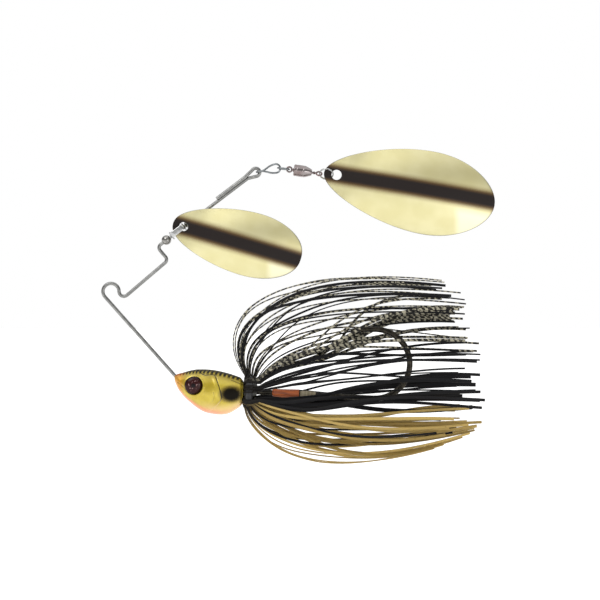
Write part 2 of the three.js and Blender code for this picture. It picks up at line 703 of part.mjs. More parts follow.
function buildHead() {
  const length = STEM_LENGTH + STEM_ROOT;
  const stem = alongX(round(STEM_D / 2, length)).translate(stemStart + length / 2, 0, 0);
  stem.rotateY(-degToRad(shankAngle)).translate(HOOK_EYE_AT.x, 0, HOOK_EYE_AT.z);
  const wireTool = rod(wirePath(), WIRE_D / 2 + CAST_GAP).translate(-nose.x, 0, -nose.z);
  const solid = joined(headGeometry(), stem);
  const tools = [wireTool, hookGeometry(CAST_GAP), socket(-1), socket(1)];
  const hollow = cut(solid, ...tools);
  addMesh(headFrame, "head", hollow, FINISH.paint);
  addMesh(headFrame, "eye_left", eyeGeometry(-1), FINISH.eye);
  addMesh(headFrame, "eye_right", eyeGeometry(1), FINISH.eye);
  addMesh(headFrame, "hook", hookGeometry(), FINISH.hook);
}

// Sleeves on the shank and the band on the head's stem, all turned round the shank's axis.
function buildShankTrim() {
  const sleeve = (from, length, inner, start, end) =>
    turned([[from, start], [from + length, end], [from + length, inner], [from, inner]]);
  const shankBore = HOOK_WIRE_D / 2 + RUNNING / 2;
  const keeper = sleeve(SLEEVE.at, SLEEVE.length, shankBore, SLEEVE.thin / 2, SLEEVE.thick / 2);
  addMesh(shankFrame, "keeper_sleeve", keeper, FINISH.orange);
  const wrapAt = SLEEVE.at + SLEEVE.length + WRAP.gap;
  const wrap = sleeve(wrapAt, WRAP.length, shankBore, WRAP.diameter / 2, WRAP.diameter / 2);
  addMesh(shankFrame, "shank_wrap", wrap, FINISH.wrap);
  const band = sleeve(bandStart, BAND_WIDTH, STEM_D / 2 + RUNNING, BAND_D / 2, BAND_D / 2);
  addMesh(shankFrame, "skirt_band", band, FINISH.rubber);
}

// ---- Skirt ----
function fanGeometry(above, below, side) {
  const curves = [above, below].map((name) => {
    const points = SKIRT_BORDERS[name].map(([x, z]) => new THREE.Vector3(x, 0, z));
    return new THREE.CubicBezierCurve3(...points);
  });
  const lengthwise = 12;
  const across = 3;
  const rings = [];
  for (let i = 0; i <= lengthwise; i += 1) {
    const s = i / lengthwise;
    const [high, low] = curves.map((curve) => curve.getPoint(s));
    const gap = high.clone().sub(low).setLength(TRIM_GAP / 2);
    const open = smoothstep(s, 0, 0.5);
    const ring = [];
    for (const [depth, flip] of [[SKIRT_INSIDE, false], [SKIRT_OUTSIDE, true]]) {
      for (let j = 0; j <= across; j += 1) {
        const t = flip ? 1 - j / across : j / across;
        const point = high.clone().sub(gap).lerp(low.clone().add(gap), t);
        point.y = side * lerp(depth[0], depth[1], open);
        ring.push(point);
      }
    }
    rings.push(side < 0 ? ring.reverse() : ring);
  }
  return skin(rings);
}

function buildSkirt() {
  const layers = [
    ["upper", "top", "upper", FINISH.barred],
    ["middle", "upper", "lower", FINISH.black],
    ["lower", "lower", "bottom", FINISH.olive],
  ];
  for (const [side, word] of [[-1, "left"], [1, "right"]]) {
    for (const [layer, above, below, finish] of layers) {
      addMesh(headFrame, `skirt_${layer}_${word}`, fanGeometry(above, below, side), finish);
    }
  }
}

addMesh(lure, "wire_form", rod(wirePath(), WIRE_D / 2), FINISH.wire);
buildUpperArm();
buildRearChain();
buildHead();
buildShankTrim();
buildSkirt();

export default lure;
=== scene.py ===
"""A tandem-blade spinnerbait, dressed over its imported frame.

Every class builds one sub-assembly of the lure from surfaces that numpy works out as whole arrays. Sizes are
in millimetres in the row's frame, with the line tie at the origin, +X towards the tail, +Z up and -Y on the
lure's left flank, and they become metres when a mesh is made.
"""

import json
import logging
import math
from dataclasses import dataclass, field
from enum import Enum

import bpy
import numpy as np
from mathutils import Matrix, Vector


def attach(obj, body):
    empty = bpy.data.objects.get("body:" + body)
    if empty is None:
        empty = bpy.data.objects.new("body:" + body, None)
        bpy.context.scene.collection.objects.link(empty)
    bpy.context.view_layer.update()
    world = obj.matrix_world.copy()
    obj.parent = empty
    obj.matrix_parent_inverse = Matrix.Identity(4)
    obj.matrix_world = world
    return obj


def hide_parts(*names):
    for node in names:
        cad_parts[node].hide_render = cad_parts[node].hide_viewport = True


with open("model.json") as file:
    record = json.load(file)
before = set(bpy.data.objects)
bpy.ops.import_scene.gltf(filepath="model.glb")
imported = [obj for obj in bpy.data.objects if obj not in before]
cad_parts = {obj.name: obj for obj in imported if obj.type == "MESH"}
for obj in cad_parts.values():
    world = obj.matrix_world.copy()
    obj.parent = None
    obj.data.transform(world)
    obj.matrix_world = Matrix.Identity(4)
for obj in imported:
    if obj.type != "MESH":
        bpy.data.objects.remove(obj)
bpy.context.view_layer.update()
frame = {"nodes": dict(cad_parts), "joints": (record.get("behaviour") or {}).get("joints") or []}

log = logging.getLogger("spinnerbait")

Array = np.ndarray
Colour = tuple[float, float, float]
Point = tuple[float, float, float]
Socket = bpy.types.NodeSocket

MM = 0.001
PLACE = "place"  # the vertex attribute that holds a piece's own coordinates, in millimetres
ACROSS = (0.0, 1.0, 0.0)
SHARP = 38.0  # degrees between faces, past which an edge isn't smoothed
WIRE_STEP = 0.2  # spacing of the frame's rings of points, in millimetres
HOOK_STEP = 0.25


# ---- Plain geometry ----
def smooth_step(value: Array, low: float, high: float) -> Array:
    """Eases from 0 at low to 1 at high: 3t^2 - 2t^3 of the clamped share t."""
    share = np.clip((value - low) / (high - low), 0.0, 1.0)
    return share * share * (3.0 - 2.0 * share)


def unit(vectors: Array) -> Array:
    """Vectors along the last axis, each divided by its length."""
    return vectors / np.maximum(np.linalg.norm(vectors, axis=-1, keepdims=True), 1e-12)


def eased_line(knots: Array, values: Array, at: Array) -> Array:
    """A smooth line through knots.

    Each span is the cubic Hermite curve whose slopes at the knots are their central differences.

    Args:
        knots: rising places of the knots.
        values: one value for each knot, or one row of values.
        at: the places to read.

    Returns:
        The line's values at those places.
    """
    slopes = np.gradient(values, knots, axis=0)
    span = np.clip(np.searchsorted(knots, at, side="right") - 1, 0, len(knots) - 2)
    width = knots[span + 1] - knots[span]
    t = (at - knots[span]) / width
    if values.ndim > 1:
        t, width = t[:, None], width[:, None]
    rise = values[span] * (2 * t**3 - 3 * t**2 + 1) + values[span + 1] * (3 * t**2 - 2 * t**3)
    bend = slopes[span] * (t**3 - 2 * t**2 + t) + slopes[span + 1] * (t**3 - t**2)
    return rise + width * bend


def ellipse(wide: float, high: float, sides: int) -> Array:
    """Corners (wide cos a, high sin a) of a round section."""
    angle = np.linspace(0.0, 2.0 * math.pi, sides, endpoint=False)
    return np.stack([wide * np.cos(angle), high * np.sin(angle)], axis=-1)


def rounded_bar(wide: float, high: float, sides: int = 16, power: float = 0.45) -> Array:
    """A superellipse (a |cos|^p, b |sin|^p) with the given full width and height."""
    circle = ellipse(1.0, 1.0, sides)
    return np.sign(circle) * np.abs(circle) ** power * np.array([wide, high]) / 2.0


def spaced(points: Array, spacing: float, closed: bool = False) -> Array:
    """The same line with its points at one spacing: each coordinate is read at equal steps of the length."""
    line = np.concatenate([points, points[:1]]) if closed else points
    steps = np.linalg.norm(np.diff(line, axis=0), axis=1)
    length = np.concatenate([[0.0], np.cumsum(steps)])
    count = max(int(round(length[-1] / spacing)), 2)
    at = np.linspace(0.0, length[-1], count + 1)
    made = np.stack([np.interp(at, length, line[:, axis]) for axis in range(3)], axis=-1)
    return made[:-1] if closed else made


def carried(path: Array, section: Array, reference: Array | Point = ACROSS, closed: bool = False) -> Array:
    """Carries a section along a path.

    T is the path's central difference, S is the reference with its part along T taken away, and U = T x S.
    A corner (a, b) of the section lands at path + a S + b U.

    Args:
        path: (..., n, 3) points.
        section: (k, 2) corners, or (..., n, k, 2) where the section changes along the path.
        reference: the direction that S stays closest to.
        closed: whether the path's end meets its start.

    Returns:
        (..., n, k, 3) points.
    """
    if closed:
        tangent = np.roll(path, -1, axis=-2) - np.roll(path, 1, axis=-2)
    else:
        tangent = np.gradient(path, axis=-2)
    tangent = unit(tangent)
    guide = np.broadcast_to(np.asarray(reference, float), path.shape)
    side = unit(guide - tangent * np.sum(guide * tangent, axis=-1, keepdims=True))
    up = np.cross(tangent, side)
    shape = path.shape[:-1] + section.shape[-2:]
    corners = np.broadcast_to(section, shape)
    return path[..., None, :] + corners[..., :1] * side[..., None, :] + corners[..., 1:] * up[..., None, :]


def turned(profile: Array, sides: int = 48) -> Array:
    """Turns a profile of [x, r] rows round the X axis: (x, r cos a, r sin a)."""
    angle = np.linspace(0.0, 2.0 * math.pi, sides, endpoint=False)
    x = np.broadcast_to(profile[:, :1], (len(profile), sides))
    return np.stack([x, profile[:, 1:] * np.cos(angle), profile[:, 1:] * np.sin(angle)], axis=-1)


def ring_path(radius: float, count: int = 64) -> Array:
    """A circle about Y that starts at the origin and bulges along +X: (r - r cos a, 0, r sin a)."""
    angle = np.linspace(0.0, 2.0 * math.pi, count, endpoint=False)
    return np.stack([radius - radius * np.cos(angle), 0 * angle, radius * np.sin(angle)], axis=-1)


def about_x(points: Array, degrees: float) -> Array:
    """Points turned about the X axis by the right-hand rule."""
    c, s = math.cos(math.radians(degrees)), math.sin(math.radians(degrees))
    x, y, z = np.moveaxis(points, -1, 0)
    return np.stack([x, y * c - z * s, y * s + z * c], axis=-1)


def polar(x: float, z: float, length: float, degrees: float) -> tuple[float, float]:
    """The point at a length and a rise from x, z in the middle plane."""
    angle = math.radians(degrees)
    return x + length * math.cos(angle), z + length * math.sin(angle)


@dataclass(frozen=True)
class Place:
    """An origin in millimetres, and how far the piece's own X axis rises from the row's."""

    x: float = 0.0
    z: float = 0.0
    rise: float = 0.0
    y: float = 0.0

    def put(self, points: Array) -> Array:
        """Points of the piece in the row's frame: turned in the middle plane, then moved."""
        c, s = math.cos(math.radians(self.rise)), math.sin(math.radians(self.rise))
        x, y, z = np.moveaxis(points, -1, 0)
        return np.stack([self.x + x * c - z * s, self.y + y, self.z + x * s + z * c], axis=-1)


def paint(made: bpy.types.Object, name: str, values: Array) -> None:
    """Stores one number for each of the piece's first vertices under a name, and 0 for the rest."""
    full = np.zeros(len(made.data.vertices), np.float32)
    full[: values.size] = values.ravel()
    made.data.attributes.new(name, "FLOAT", "POINT").data.foreach_set("value", full)


def pivot(joint: str) -> Point:
    """A joint's position in millimetres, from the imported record."""
    found = next(j for j in frame["joints"] if j["name"] == joint)
    return tuple(value / MM for value in found["pos_m"])


@dataclass
class Skin:
    """Grids of points that become one closed mesh."""

    points: list[Array] = field(default_factory=list)
    local: list[Array] = field(default_factory=list)
    quads: list[Array] = field(default_factory=list)
    fans: list[Array] = field(default_factory=list)
    total: int = 0

    def _keep(self, points: Array, local: Array) -> Array:
        """Adds (..., 3) points and returns their numbers, in the same shape."""
        flat = points.reshape(-1, 3)
        numbers = np.arange(self.total, self.total + len(flat)).reshape(points.shape[:-1])
        self.points.append(flat)
        self.local.append(np.broadcast_to(local, points.shape).reshape(-1, 3))
        self.total += len(flat)
        return numbers

    def grid(self, points: Array, local: Array, loop: bool = False, caps: bool = True) -> None:
        """Adds one or more tubes of points, whose columns go round by the right-hand rule along the rows.

        Args:
            points: (rows, columns, 3), or (tubes, rows, columns, 3).
            local: the piece's own coordinates of the same points.
            loop: whether the last row meets the first.
            caps: whether a fan closes each end, where there is no loop.
        """
        if points.ndim == 3:
            points, local = points[None], local[None]
        numbers = self._keep(points, local)
        rows = np.concatenate([numbers, numbers[:, :1]], axis=1) if loop else numbers
        wide = np.concatenate([rows, rows[:, :, :1]], axis=2)
        near, far = wide[:, :-1], wide[:, 1:]
        quads = np.stack([near[..., :-1], near[..., 1:], far[..., 1:], far[..., :-1]], axis=-1)
        self.quads.append(quads.reshape(-1, 4))
        if loop or not caps:
            return
        for row, turn in ((0, 1), (-1, -1)):
            pole = self._keep(points[:, row].mean(axis=1), local[:, row].mean(axis=1))
            edge = wide[:, row]
            middle = np.broadcast_to(pole[:, None], edge[:, 1:].shape)
            fan = np.stack([middle, edge[:, 1:], edge[:, :-1]][::turn], axis=-1)
            self.fans.append(fan.reshape(-1, 3))

    def mesh(self, name: str) -> bpy.types.Mesh:
        """Makes the mesh in metres, smooth except at its sharp edges, with the piece's own coordinates."""
        made = bpy.data.meshes.new(name)
        faces = [face for group in self.quads + self.fans for face in group.tolist()]
        made.from_pydata((np.concatenate(self.points) * MM).tolist(), [], faces)
        place = made.attributes.new(PLACE, "FLOAT_VECTOR", "POINT")
        place.data.foreach_set("vector", np.concatenate(self.local).astype(np.float32).ravel())
        made.shade_smooth()
        made.set_sharp_from_angle(angle=math.radians(SHARP))
        made.update()
        return made


# ---- Shader expressions ----
@dataclass(frozen=True)
class Value:
    """A socket's number, on which Python's operators add Math nodes."""

    sheet: "Sheet"
    socket: Socket

    def _math(self, operation: str, *others: "Value | float", first: bool = True) -> "Value":
        """A Math node of this value and the others, with this one first or last."""
        terms = (self, *others) if first else (*others, self)
        made = self.sheet.node("ShaderNodeMath", {"operation": operation}, dict(enumerate(terms)))
        return Value(self.sheet, made.outputs[0])

    def __add__(self, other: "Value | float") -> "Value":
        """self + other."""
        return self._math("ADD", other)

    __radd__ = __add__

    def __mul__(self, other: "Value | float") -> "Value":
        """self * other."""
        return self._math("MULTIPLY", other)

    __rmul__ = __mul__

    def __sub__(self, other: "Value | float") -> "Value":
        """self - other."""
        return self._math("SUBTRACT", other)

    def __rsub__(self, other: float) -> "Value":
        """other - self."""
        return self._math("SUBTRACT", other, first=False)

    def __truediv__(self, other: "Value | float") -> "Value":
        """self / other."""
        return self._math("DIVIDE", other)

    def __abs__(self) -> "Value":
        """The value without its sign."""
        return self._math("ABSOLUTE")

    def __pow__(self, other: float) -> "Value":
        """self to a power."""
        return self._math("POWER", other)

    def sine(self) -> "Value":
        """The sine of the value in radians."""
        return self._math("SINE")

    def most(self, other: "Value | float") -> "Value":
        """The larger of the two."""
        return self._math("MAXIMUM", other)

    def least(self, other: "Value | float") -> "Value":
        """The smaller of the two."""
        return self._math("MINIMUM", other)

    def eased(self, low: float, high: float) -> "Value":
        """A smooth step from 0 at low to 1 at high, or down from 1 where low is the larger."""
        if low > high:
            return 1.0 - self.eased(high, low)
        settings = {"interpolation_type": "SMOOTHSTEP"}
        made = self.sheet.node("ShaderNodeMapRange", settings, {0: self, 1: low, 2: high})
        return Value(self.sheet, made.outputs[0])


class Sheet:
    """The node tree of one material or world, and the one method that adds to it."""

    def __init__(self, owner: bpy.types.Material | bpy.types.World) -> None:
        """Empties the owner's node tree."""
        self.owner = owner
        owner.use_nodes = True
        self.tree = owner.node_tree
        self.tree.nodes.clear()

    @classmethod
    def named(cls, name: str) -> "Sheet":
        """The sheet of a new material."""
        return cls(bpy.data.materials.new(name))

    def node(self, kind: str, settings: dict | None = None, inputs: dict | None = None) -> bpy.types.Node:
        """Adds a node.

        Args:
            kind: the node's type name.
            settings: its properties, set first; "stops" holds a ramp's places and colours.
            inputs: values, sockets or Value objects for its sockets, by name or number.

        Returns:
            The node.
        """
        made = self.tree.nodes.new(kind)
        for name, value in (settings or {}).items():
            if name == "stops":
                self._ramp(made.color_ramp, value)
            else:
                setattr(made, name, value)
        for key, value in (inputs or {}).items():
            socket = made.inputs[key]
            if isinstance(value, Value):
                value = value.socket
            if isinstance(value, Socket):
                self.tree.links.new(value, socket)
            else:
                socket.default_value = (*value, 1.0) if socket.type == "RGBA" else value
        return made

    @staticmethod
    def _ramp(ramp: bpy.types.ColorRamp, stops: list[tuple[float, Colour]]) -> None:
        """Sets a ramp's stops, in rising order."""
        while len(ramp.elements) < len(stops):
            ramp.elements.new(1.0)
        for element, (place, colour) in zip(ramp.elements, stops):
            element.position = place
            element.color = (*colour, 1.0)

    def value(self, node: bpy.types.Node, output: str | int = 0) -> Value:
        """One output of a node as a number."""
        return Value(self, node.outputs[output])

    def place(self, own: bool = True) -> tuple[Socket, Value, Value, Value]:
        """Coordinates in millimetres: the vector, and its three numbers.

        Args:
            own: whether they are the piece's own; a CAD object has none, and takes its object coordinates.
        """
        if own:
            vector = self.node("ShaderNodeAttribute", {"attribute_name": PLACE}).outputs["Vector"]
        else:
            metres = self.node("ShaderNodeTexCoord").outputs["Object"]
            scaled = self.node("ShaderNodeVectorMath", {"operation": "SCALE"}, {0: metres, "Scale": 1.0 / MM})
            vector = scaled.outputs[0]
        parts = self.node("ShaderNodeSeparateXYZ", inputs={0: vector})
        return vector, self.value(parts, 0), self.value(parts, 1), self.value(parts, 2)

    def painted(self, name: str) -> Value:
        """A number that is painted on the piece's vertices under that name."""
        return self.value(self.node("ShaderNodeAttribute", {"attribute_name": name}), "Fac")

    def noise(self, vector: Socket, scale: float, stretch: Point = (1, 1, 1), detail: float = 3.0) -> Value:
        """Noise from about 0 to 1, with features 1/scale millimetres long, drawn out by a stretch."""
        mapped = self.node("ShaderNodeVectorMath", {"operation": "MULTIPLY"}, {0: vector, 1: stretch})
        inputs = {"Vector": mapped.outputs[0], "Scale": scale, "Detail": detail}
        return self.value(self.node("ShaderNodeTexNoise", inputs=inputs))

    def mix(self, share: Value | float, low: Colour | Socket, high: Colour | Socket) -> Socket:
        """A colour between low, at share 0, and high, at share 1."""
        made = self.node("ShaderNodeMix", {"data_type": "RGBA"}, {0: share, 6: low, 7: high})
        return made.outputs[2]

    def bump(self, height: Value, depth: float, strength: float = 1.0) -> Socket:
        """A normal bent by a height, at a depth in millimetres."""
        inputs = {"Height": height, "Distance": depth * MM, "Strength": strength}
        return self.node("ShaderNodeBump", inputs=inputs).outputs[0]

    def finish(self, **sockets: object) -> bpy.types.Material:
        """Ends the tree in one Principled shader; underscores in the names stand for spaces."""
        inputs = {name.replace("_", " "): value for name, value in sockets.items()}
        shader = self.node("ShaderNodeBsdfPrincipled", inputs=inputs)
        self.node("ShaderNodeOutputMaterial", inputs={"Surface": shader.outputs[0]})
        return self.owner


# ---- Finishes ----
@dataclass(frozen=True)
class Metal:
    """Drawn or plated metal: fine scratches along the piece and faint stains in its gloss."""

    name: str
    colour: Colour
    shade: Colour
    roughness: float = 0.2
    scratch: float = 0.004
    grain: Point = (0.3, 4.0, 4.0)
    stain: float = 0.9  # stains for each millimetre
    own: bool = True  # whether its surfaces hold their own coordinates

    def material(self) -> bpy.types.Material:
        """Builds the material."""
        sheet = Sheet.named(self.name)
        vector, *_ = sheet.place(self.own)
        stain = sheet.noise(vector, self.stain)
        scratches = sheet.noise(vector, 6.0, self.grain, 5.0)
        colour = sheet.mix(stain.eased(0.35, 0.7), self.shade, self.colour)
        rough = self.roughness + 0.12 * scratches * stain
        return sheet.finish(
            Base_Color=colour, Metallic=1.0, Roughness=rough, Normal=sheet.bump(scratches, self.scratch)
        )


@dataclass(frozen=True)
class BladeFinish:
    """Satin gold plate with a sprayed black stripe down the outside of the blade, and a painted highlight
    that pales the plate below the stripe towards the tip.
    """

    name: str
    shift: float = 0.0  # where the stripe's middle crosses the hole
    slope: float = 0.0  # how far it strays across for each millimetre along
    # painted highlight: how far along the blade the plate starts to pale below its stripe
    painted_highlight: float = 26.0  # how far along the plate starts to pale below its stripe
    gold: Colour = (0.60, 0.55, 0.29)
    pale: Colour = (0.71, 0.665, 0.41)
    # the colour of the painted highlight
    light: Colour = (0.90, 0.87, 0.66)
    brown: Colour = (0.16, 0.09, 0.03)
    black: Colour = (0.014, 0.010, 0.009)
    core: float = 1.5  # half width of the solid black
    fade: float = 3.5  # where the spray ends
    edge: Colour = (0.22, 0.22, 0.19)

    def material(self) -> bpy.types.Material:
        """Builds the material; the piece's coordinates are along, out of the face, and across."""
        sheet = Sheet.named(self.name)
        vector, along, _, across = sheet.place()
        grain = sheet.noise(vector, 5.0, (0.15, 1.0, 3.0), 6.0)
        cloud = sheet.noise(vector, 0.16, detail=2.0)
        mist = sheet.noise(vector, 7.0, detail=2.0)
        gold = sheet.mix(cloud.eased(0.3, 0.7) * 0.5, self.gold, self.pale)
        below = (across * -1.0).eased(1.5, 4.0)
        rim, outside = sheet.painted("rim"), sheet.painted("outside")
        # painted highlight: the outside face pales to the light colour below the stripe, towards the tip
        painted_highlight = (along + across * 0.25).eased(self.painted_highlight, self.painted_highlight + 2.5) * below * outside
        gold = sheet.mix(painted_highlight * 0.55, gold, self.light)
        reach = abs(across - self.shift - along * self.slope) + (mist - 0.5) * 0.35
        spray = reach.eased(self.fade, self.core) * outside
        solid = reach.eased(self.core + 1.2, self.core - 0.5) * outside
        gold = sheet.mix(rim.eased(0.3, 0.95), gold, self.edge)
        colour = sheet.mix(solid, sheet.mix(spray, gold, self.brown), self.black)
        rough = 0.36 + 0.08 * grain + 0.1 * solid
        return sheet.finish(
            Base_Color=colour,
            Metallic=0.86 - 0.8 * solid - 0.3 * spray * (1.0 - solid),
            Roughness=rough,
            Normal=sheet.bump(grain, 0.006),
            Coat_Weight=0.3 - 0.3 * solid,
            Coat_Roughness=0.12,
            Specular_IOR_Level=0.15,
        )


@dataclass(frozen=True)
class HeadPaint:
    """Fish paint: gold foil flanks, a dark hatched back, a pink belly, a soft black spot and gill lines, with
    painted highlights in cream on the rear of the belly and the lower gill lines, and painted shade on the
    stem behind the head.
    """

    name: str = "fish_paint"
    gold: Colour = (0.40, 0.295, 0.018)
    pale: Colour = (0.53, 0.415, 0.05)
    # the cream of the painted highlights on the rear of the belly and on the lower gill lines
    cream_highlight: Colour = (0.70, 0.50, 0.22)
    olive: Colour = (0.30, 0.23, 0.045)
    back: Colour = (0.010, 0.009, 0.005)
    orange: Colour = (0.72, 0.17, 0.03)
    pink: Colour = (0.66, 0.24, 0.13)
    brown: Colour = (0.13, 0.085, 0.015)
    spot: Colour = (0.006, 0.005, 0.003)
    spot_at: tuple[float, float] = (14.5, -4.45)
    spot_size: tuple[float, float] = (2.75, 1.95)

    def material(self) -> bpy.types.Material:
        """Builds the material; "top", "bottom" and "line" are painted on the head's vertices."""
        sheet = Sheet.named(self.name)
        vector, x, y, z = sheet.place()
        marks = {name: sheet.painted(name) for name in ("top", "bottom", "line")}
        cloud = sheet.noise(vector, 0.35, detail=4.0)
        fine = sheet.noise(vector, 3.0, detail=5.0)
        flake = sheet.noise(vector, 9.0, detail=1.0)
        colour = sheet.mix(cloud.eased(0.3, 0.72), self.gold, self.pale)
        colour = sheet.mix(x.eased(11.0, 17.5) * 0.55 * (1.0 - marks["top"]), colour, self.pale)
        colour = sheet.mix(marks["top"].eased(0.45, 0.85) * 0.7, colour, self.olive)
        hatch = (x * 6.4 + abs(y) * 3.0 + z * 2.2 + fine * 1.6).sine().eased(-0.75, 0.1)
        band = (marks["top"] + (fine - 0.5) * 0.1).eased(0.72, 0.86)
        crest = marks["top"].eased(0.86, 0.93)
        colour = sheet.mix(band * hatch.most(crest * 0.8), colour, self.back)
        # painted highlight: the rear of the belly is paled to cream
        painted_belly_shine = marks["bottom"].eased(0.35, 0.8) * x.eased(5.0, 10.0)
        colour = sheet.mix(painted_belly_shine * 0.8, colour, self.cream_highlight)
        belly = (marks["bottom"] + (fine - 0.5) * 0.12).eased(0.66, 0.92)
        forward = x.eased(15.0, 9.0)
        colour = sheet.mix(belly * (0.35 + 0.65 * forward) * 0.9, colour, self.pink)
        chin = x.eased(3.4, 0.2)
        colour = sheet.mix((chin * 0.45 + belly * x.eased(9.0, 3.0) * 0.6).least(1.0), colour, self.orange)
        wide = ((x - self.spot_at[0]) / self.spot_size[0]) ** 2.0
        high = ((z - self.spot_at[1]) / self.spot_size[1]) ** 2.0
        fuzz = wide + high + (fine - 0.5) * 0.5
        spot = fuzz.eased(1.35, 0.35)
        colour = sheet.mix(spot, sheet.mix(fuzz.eased(1.9, 0.8) * 0.75, colour, self.brown), self.spot)
        line = marks["line"].eased(0.25, 0.85)
        colour = sheet.mix(line * z.eased(-7.6, -5.2) * 0.95, colour, self.back)
        # painted highlight: below z -5.2 the relief lines turn cream
        colour = sheet.mix(line * z.eased(-5.2, -7.0) * 0.6, colour, self.cream_highlight)
        # painted shade: the stem behind the head, under the skirt's band, is painted black
        colour = sheet.mix(x.eased(17.35, 17.6), colour, self.back)
        return sheet.finish(
            Base_Color=colour,
            Metallic=0.5 - 0.4 * spot.most(band),
            Roughness=0.30 + 0.12 * flake,
            Normal=sheet.bump(fine + flake * 0.5, 0.02, 0.35),
            Coat_Weight=0.75 - 0.75 * spot.most(band),
            Coat_Roughness=0.06,
            Specular_IOR_Level=0.06,
        )


@dataclass(frozen=True)
class EyeFinish:
    """A moulded lure eye: a black pupil, a deep red-brown iris with pale rays, and a dark rim."""

    name: str = "moulded_eye"
    pupil: Colour = (0.006, 0.003, 0.004)
    iris: Colour = (0.026, 0.004, 0.004)
    ray: Colour = (0.46, 0.29, 0.28)
    rim: Colour = (0.016, 0.003, 0.003)

    def material(self) -> bpy.types.Material:
        """Builds the material from the distance to the eye's middle."""
        sheet = Sheet.named(self.name)
        vector, x, _, z = sheet.place()
        reach = (x * x + z * z) ** 0.5
        flecks = sheet.noise(vector, 2.2, (1.0, 0.0, 1.0), 3.0)
        ring = reach.eased(0.55, 0.8) * reach.eased(1.75, 1.2)
        colour = sheet.mix(reach.eased(0.5, 0.62), self.pupil, self.iris)
        colour = sheet.mix(ring * flecks.eased(0.56, 0.68) * 0.8, colour, self.ray)
        colour = sheet.mix(reach.eased(1.7, 2.0), colour, self.rim)
        return sheet.finish(
            Base_Color=colour, Roughness=0.2, Coat_Weight=0.15, Coat_Roughness=0.03, Specular_IOR_Level=0.1
        )


class Strand(Enum):
    """The three kinds of silicone strand in the skirt."""

    BARRED = "barred"
    BLACK = "black"
    OLIVE = "olive"


@dataclass(frozen=True)
class Silicone:
    """Silicone strand: a body colour, a second colour in flakes or bars, a soft sheen, and painted shade
    towards the root.
    """

    name: str
    kind: Strand
    body: Colour
    mark: Colour
    # near black, for the painted shade at the roots and for the dark edges
    deep: Colour = (0.012, 0.010, 0.008)
    # strength of the painted shade at the root, where the strands crowd under the band
    shade: float = 0.85
    outline: float = 0.45

    def material(self) -> bpy.types.Material:
        """Builds the material; a strand's coordinates are length along, place across, and its own number."""
        sheet = Sheet.named(self.name)
        vector, along, across, number = sheet.place()
        fine = sheet.noise(vector, 4.0, detail=3.0)
        if self.kind is Strand.BARRED:
            wobble = sheet.noise(vector, 1.1, (1.0, 1.0, 3.0), 2.0)
            blot = sheet.noise(vector, 0.55, (1.0, 2.0, 5.0), 2.0)
            bars = (along * 4.2 + number * 7.0 + across * 1.9 + wobble * 8.0).sine()
            marks = (bars.eased(-0.35, 0.15) * fine.eased(0.28, 0.42)).most(blot.eased(0.56, 0.62))
        elif self.kind is Strand.OLIVE:
            flake = sheet.noise(vector, 2.6, (0.5, 1.0, 1.0), 2.0)
            marks = (flake.eased(0.6, 0.72) * 0.4 + (number * 5.1).sine().eased(-0.2, 1.0) * 0.6).least(1.0)
        else:
            marks = fine.eased(0.55, 0.8) * 0.5
        # painted shade: each strand darkens towards its root under the band, fading out 9 mm along
        root = along.eased(9.0, 1.5) * self.shade
        edge = abs(across).eased(0.22, 0.52) * self.outline
        colour = sheet.mix(root.most(edge), sheet.mix(marks, self.body, self.mark), self.deep)
        clear = {Strand.BARRED: 0.35, Strand.BLACK: 0.0, Strand.OLIVE: 0.25}[self.kind]
        rough = {Strand.BARRED: 0.35, Strand.BLACK: 0.42, Strand.OLIVE: 0.36}[self.kind]
        return sheet.finish(
            Base_Color=colour,
            Roughness=rough + 0.12 * fine,
            Normal=sheet.bump(fine, 0.01, 0.4),
            Transmission_Weight=clear,
            IOR=1.4,
            Specular_IOR_Level=0.14,
        )


@dataclass(frozen=True)
class SoftPlastic:
    """Soft tubing or rubber with a mottled colour and a fine skin."""

    name: str
    colour: Colour
    second: Colour
    roughness: float
    stretch: Point = (1.0, 1.0, 1.0)

    def material(self) -> bpy.types.Material:
        """Builds the material."""
        sheet = Sheet.named(self.name)
        vector, *_ = sheet.place()
        mottle = sheet.noise(vector, 0.8, self.stretch)
        skin = sheet.noise(vector, 6.0, self.stretch)
        return sheet.finish(
            Base_Color=sheet.mix(mottle.eased(0.3, 0.7), self.colour, self.second),
            Roughness=self.roughness + 0.1 * skin,
            Normal=sheet.bump(skin, 0.015, 0.5),
        )


@dataclass(frozen=True)
class Backdrop:
    """Plain pale studio floor."""

    name: str = "pale_floor"
    colour: Colour = (0.95, 0.95, 0.945)
    glow: float = 0.45

    def material(self) -> bpy.types.Material:
        """Builds the material."""
        return Sheet.named(self.name).finish(
            Base_Color=self.colour,
            Roughness=0.9,
            Specular_IOR_Level=0.1,
            Emission_Color=self.colour,
            Emission_Strength=self.glow,
        )


@dataclass
class Workshop:
    """Turns skins into objects that ride on the frame, with one material for each finish."""

    materials: dict[str, bpy.types.Material] = field(default_factory=dict)
    made: list[str] = field(default_factory=list)

    def material(self, finish: object) -> bpy.types.Material:
        """The finish's material, built once."""
        if finish.name not in self.materials:
            self.materials[finish.name] = finish.material()
        return self.materials[finish.name]

    def piece(
        self, name: str, skin: Skin, finish: object, body: str, node: str
    ) -> bpy.types.Object:
        """Makes a piece, sets it on its body and hides the node that it stands for.

        Args:
            name: the piece's name.
            skin: its surfaces.
            finish: what it looks like.
            body: the CAD body that carries it.
            node: the CAD node that it replaces.

        Returns:
            The object.
        """
        mesh = skin.mesh(name)
        mesh.materials.append(self.material(finish))
        made = bpy.data.objects.new(name, mesh)
        bpy.context.scene.collection.objects.link(made)
        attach(made, body)
        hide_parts(node)
        self.made.append(name)
        log.info("%s: %d faces on %s", name, len(mesh.polygons), body)
        return made

    def refinish(self, node: str, finish: object) -> None:
        """Gives a CAD node that stays in sight a finish, in each of its object's material slots."""
        made = frame["nodes"][node]
        for held in made.material_slots:
            held.material = self.material(finish)


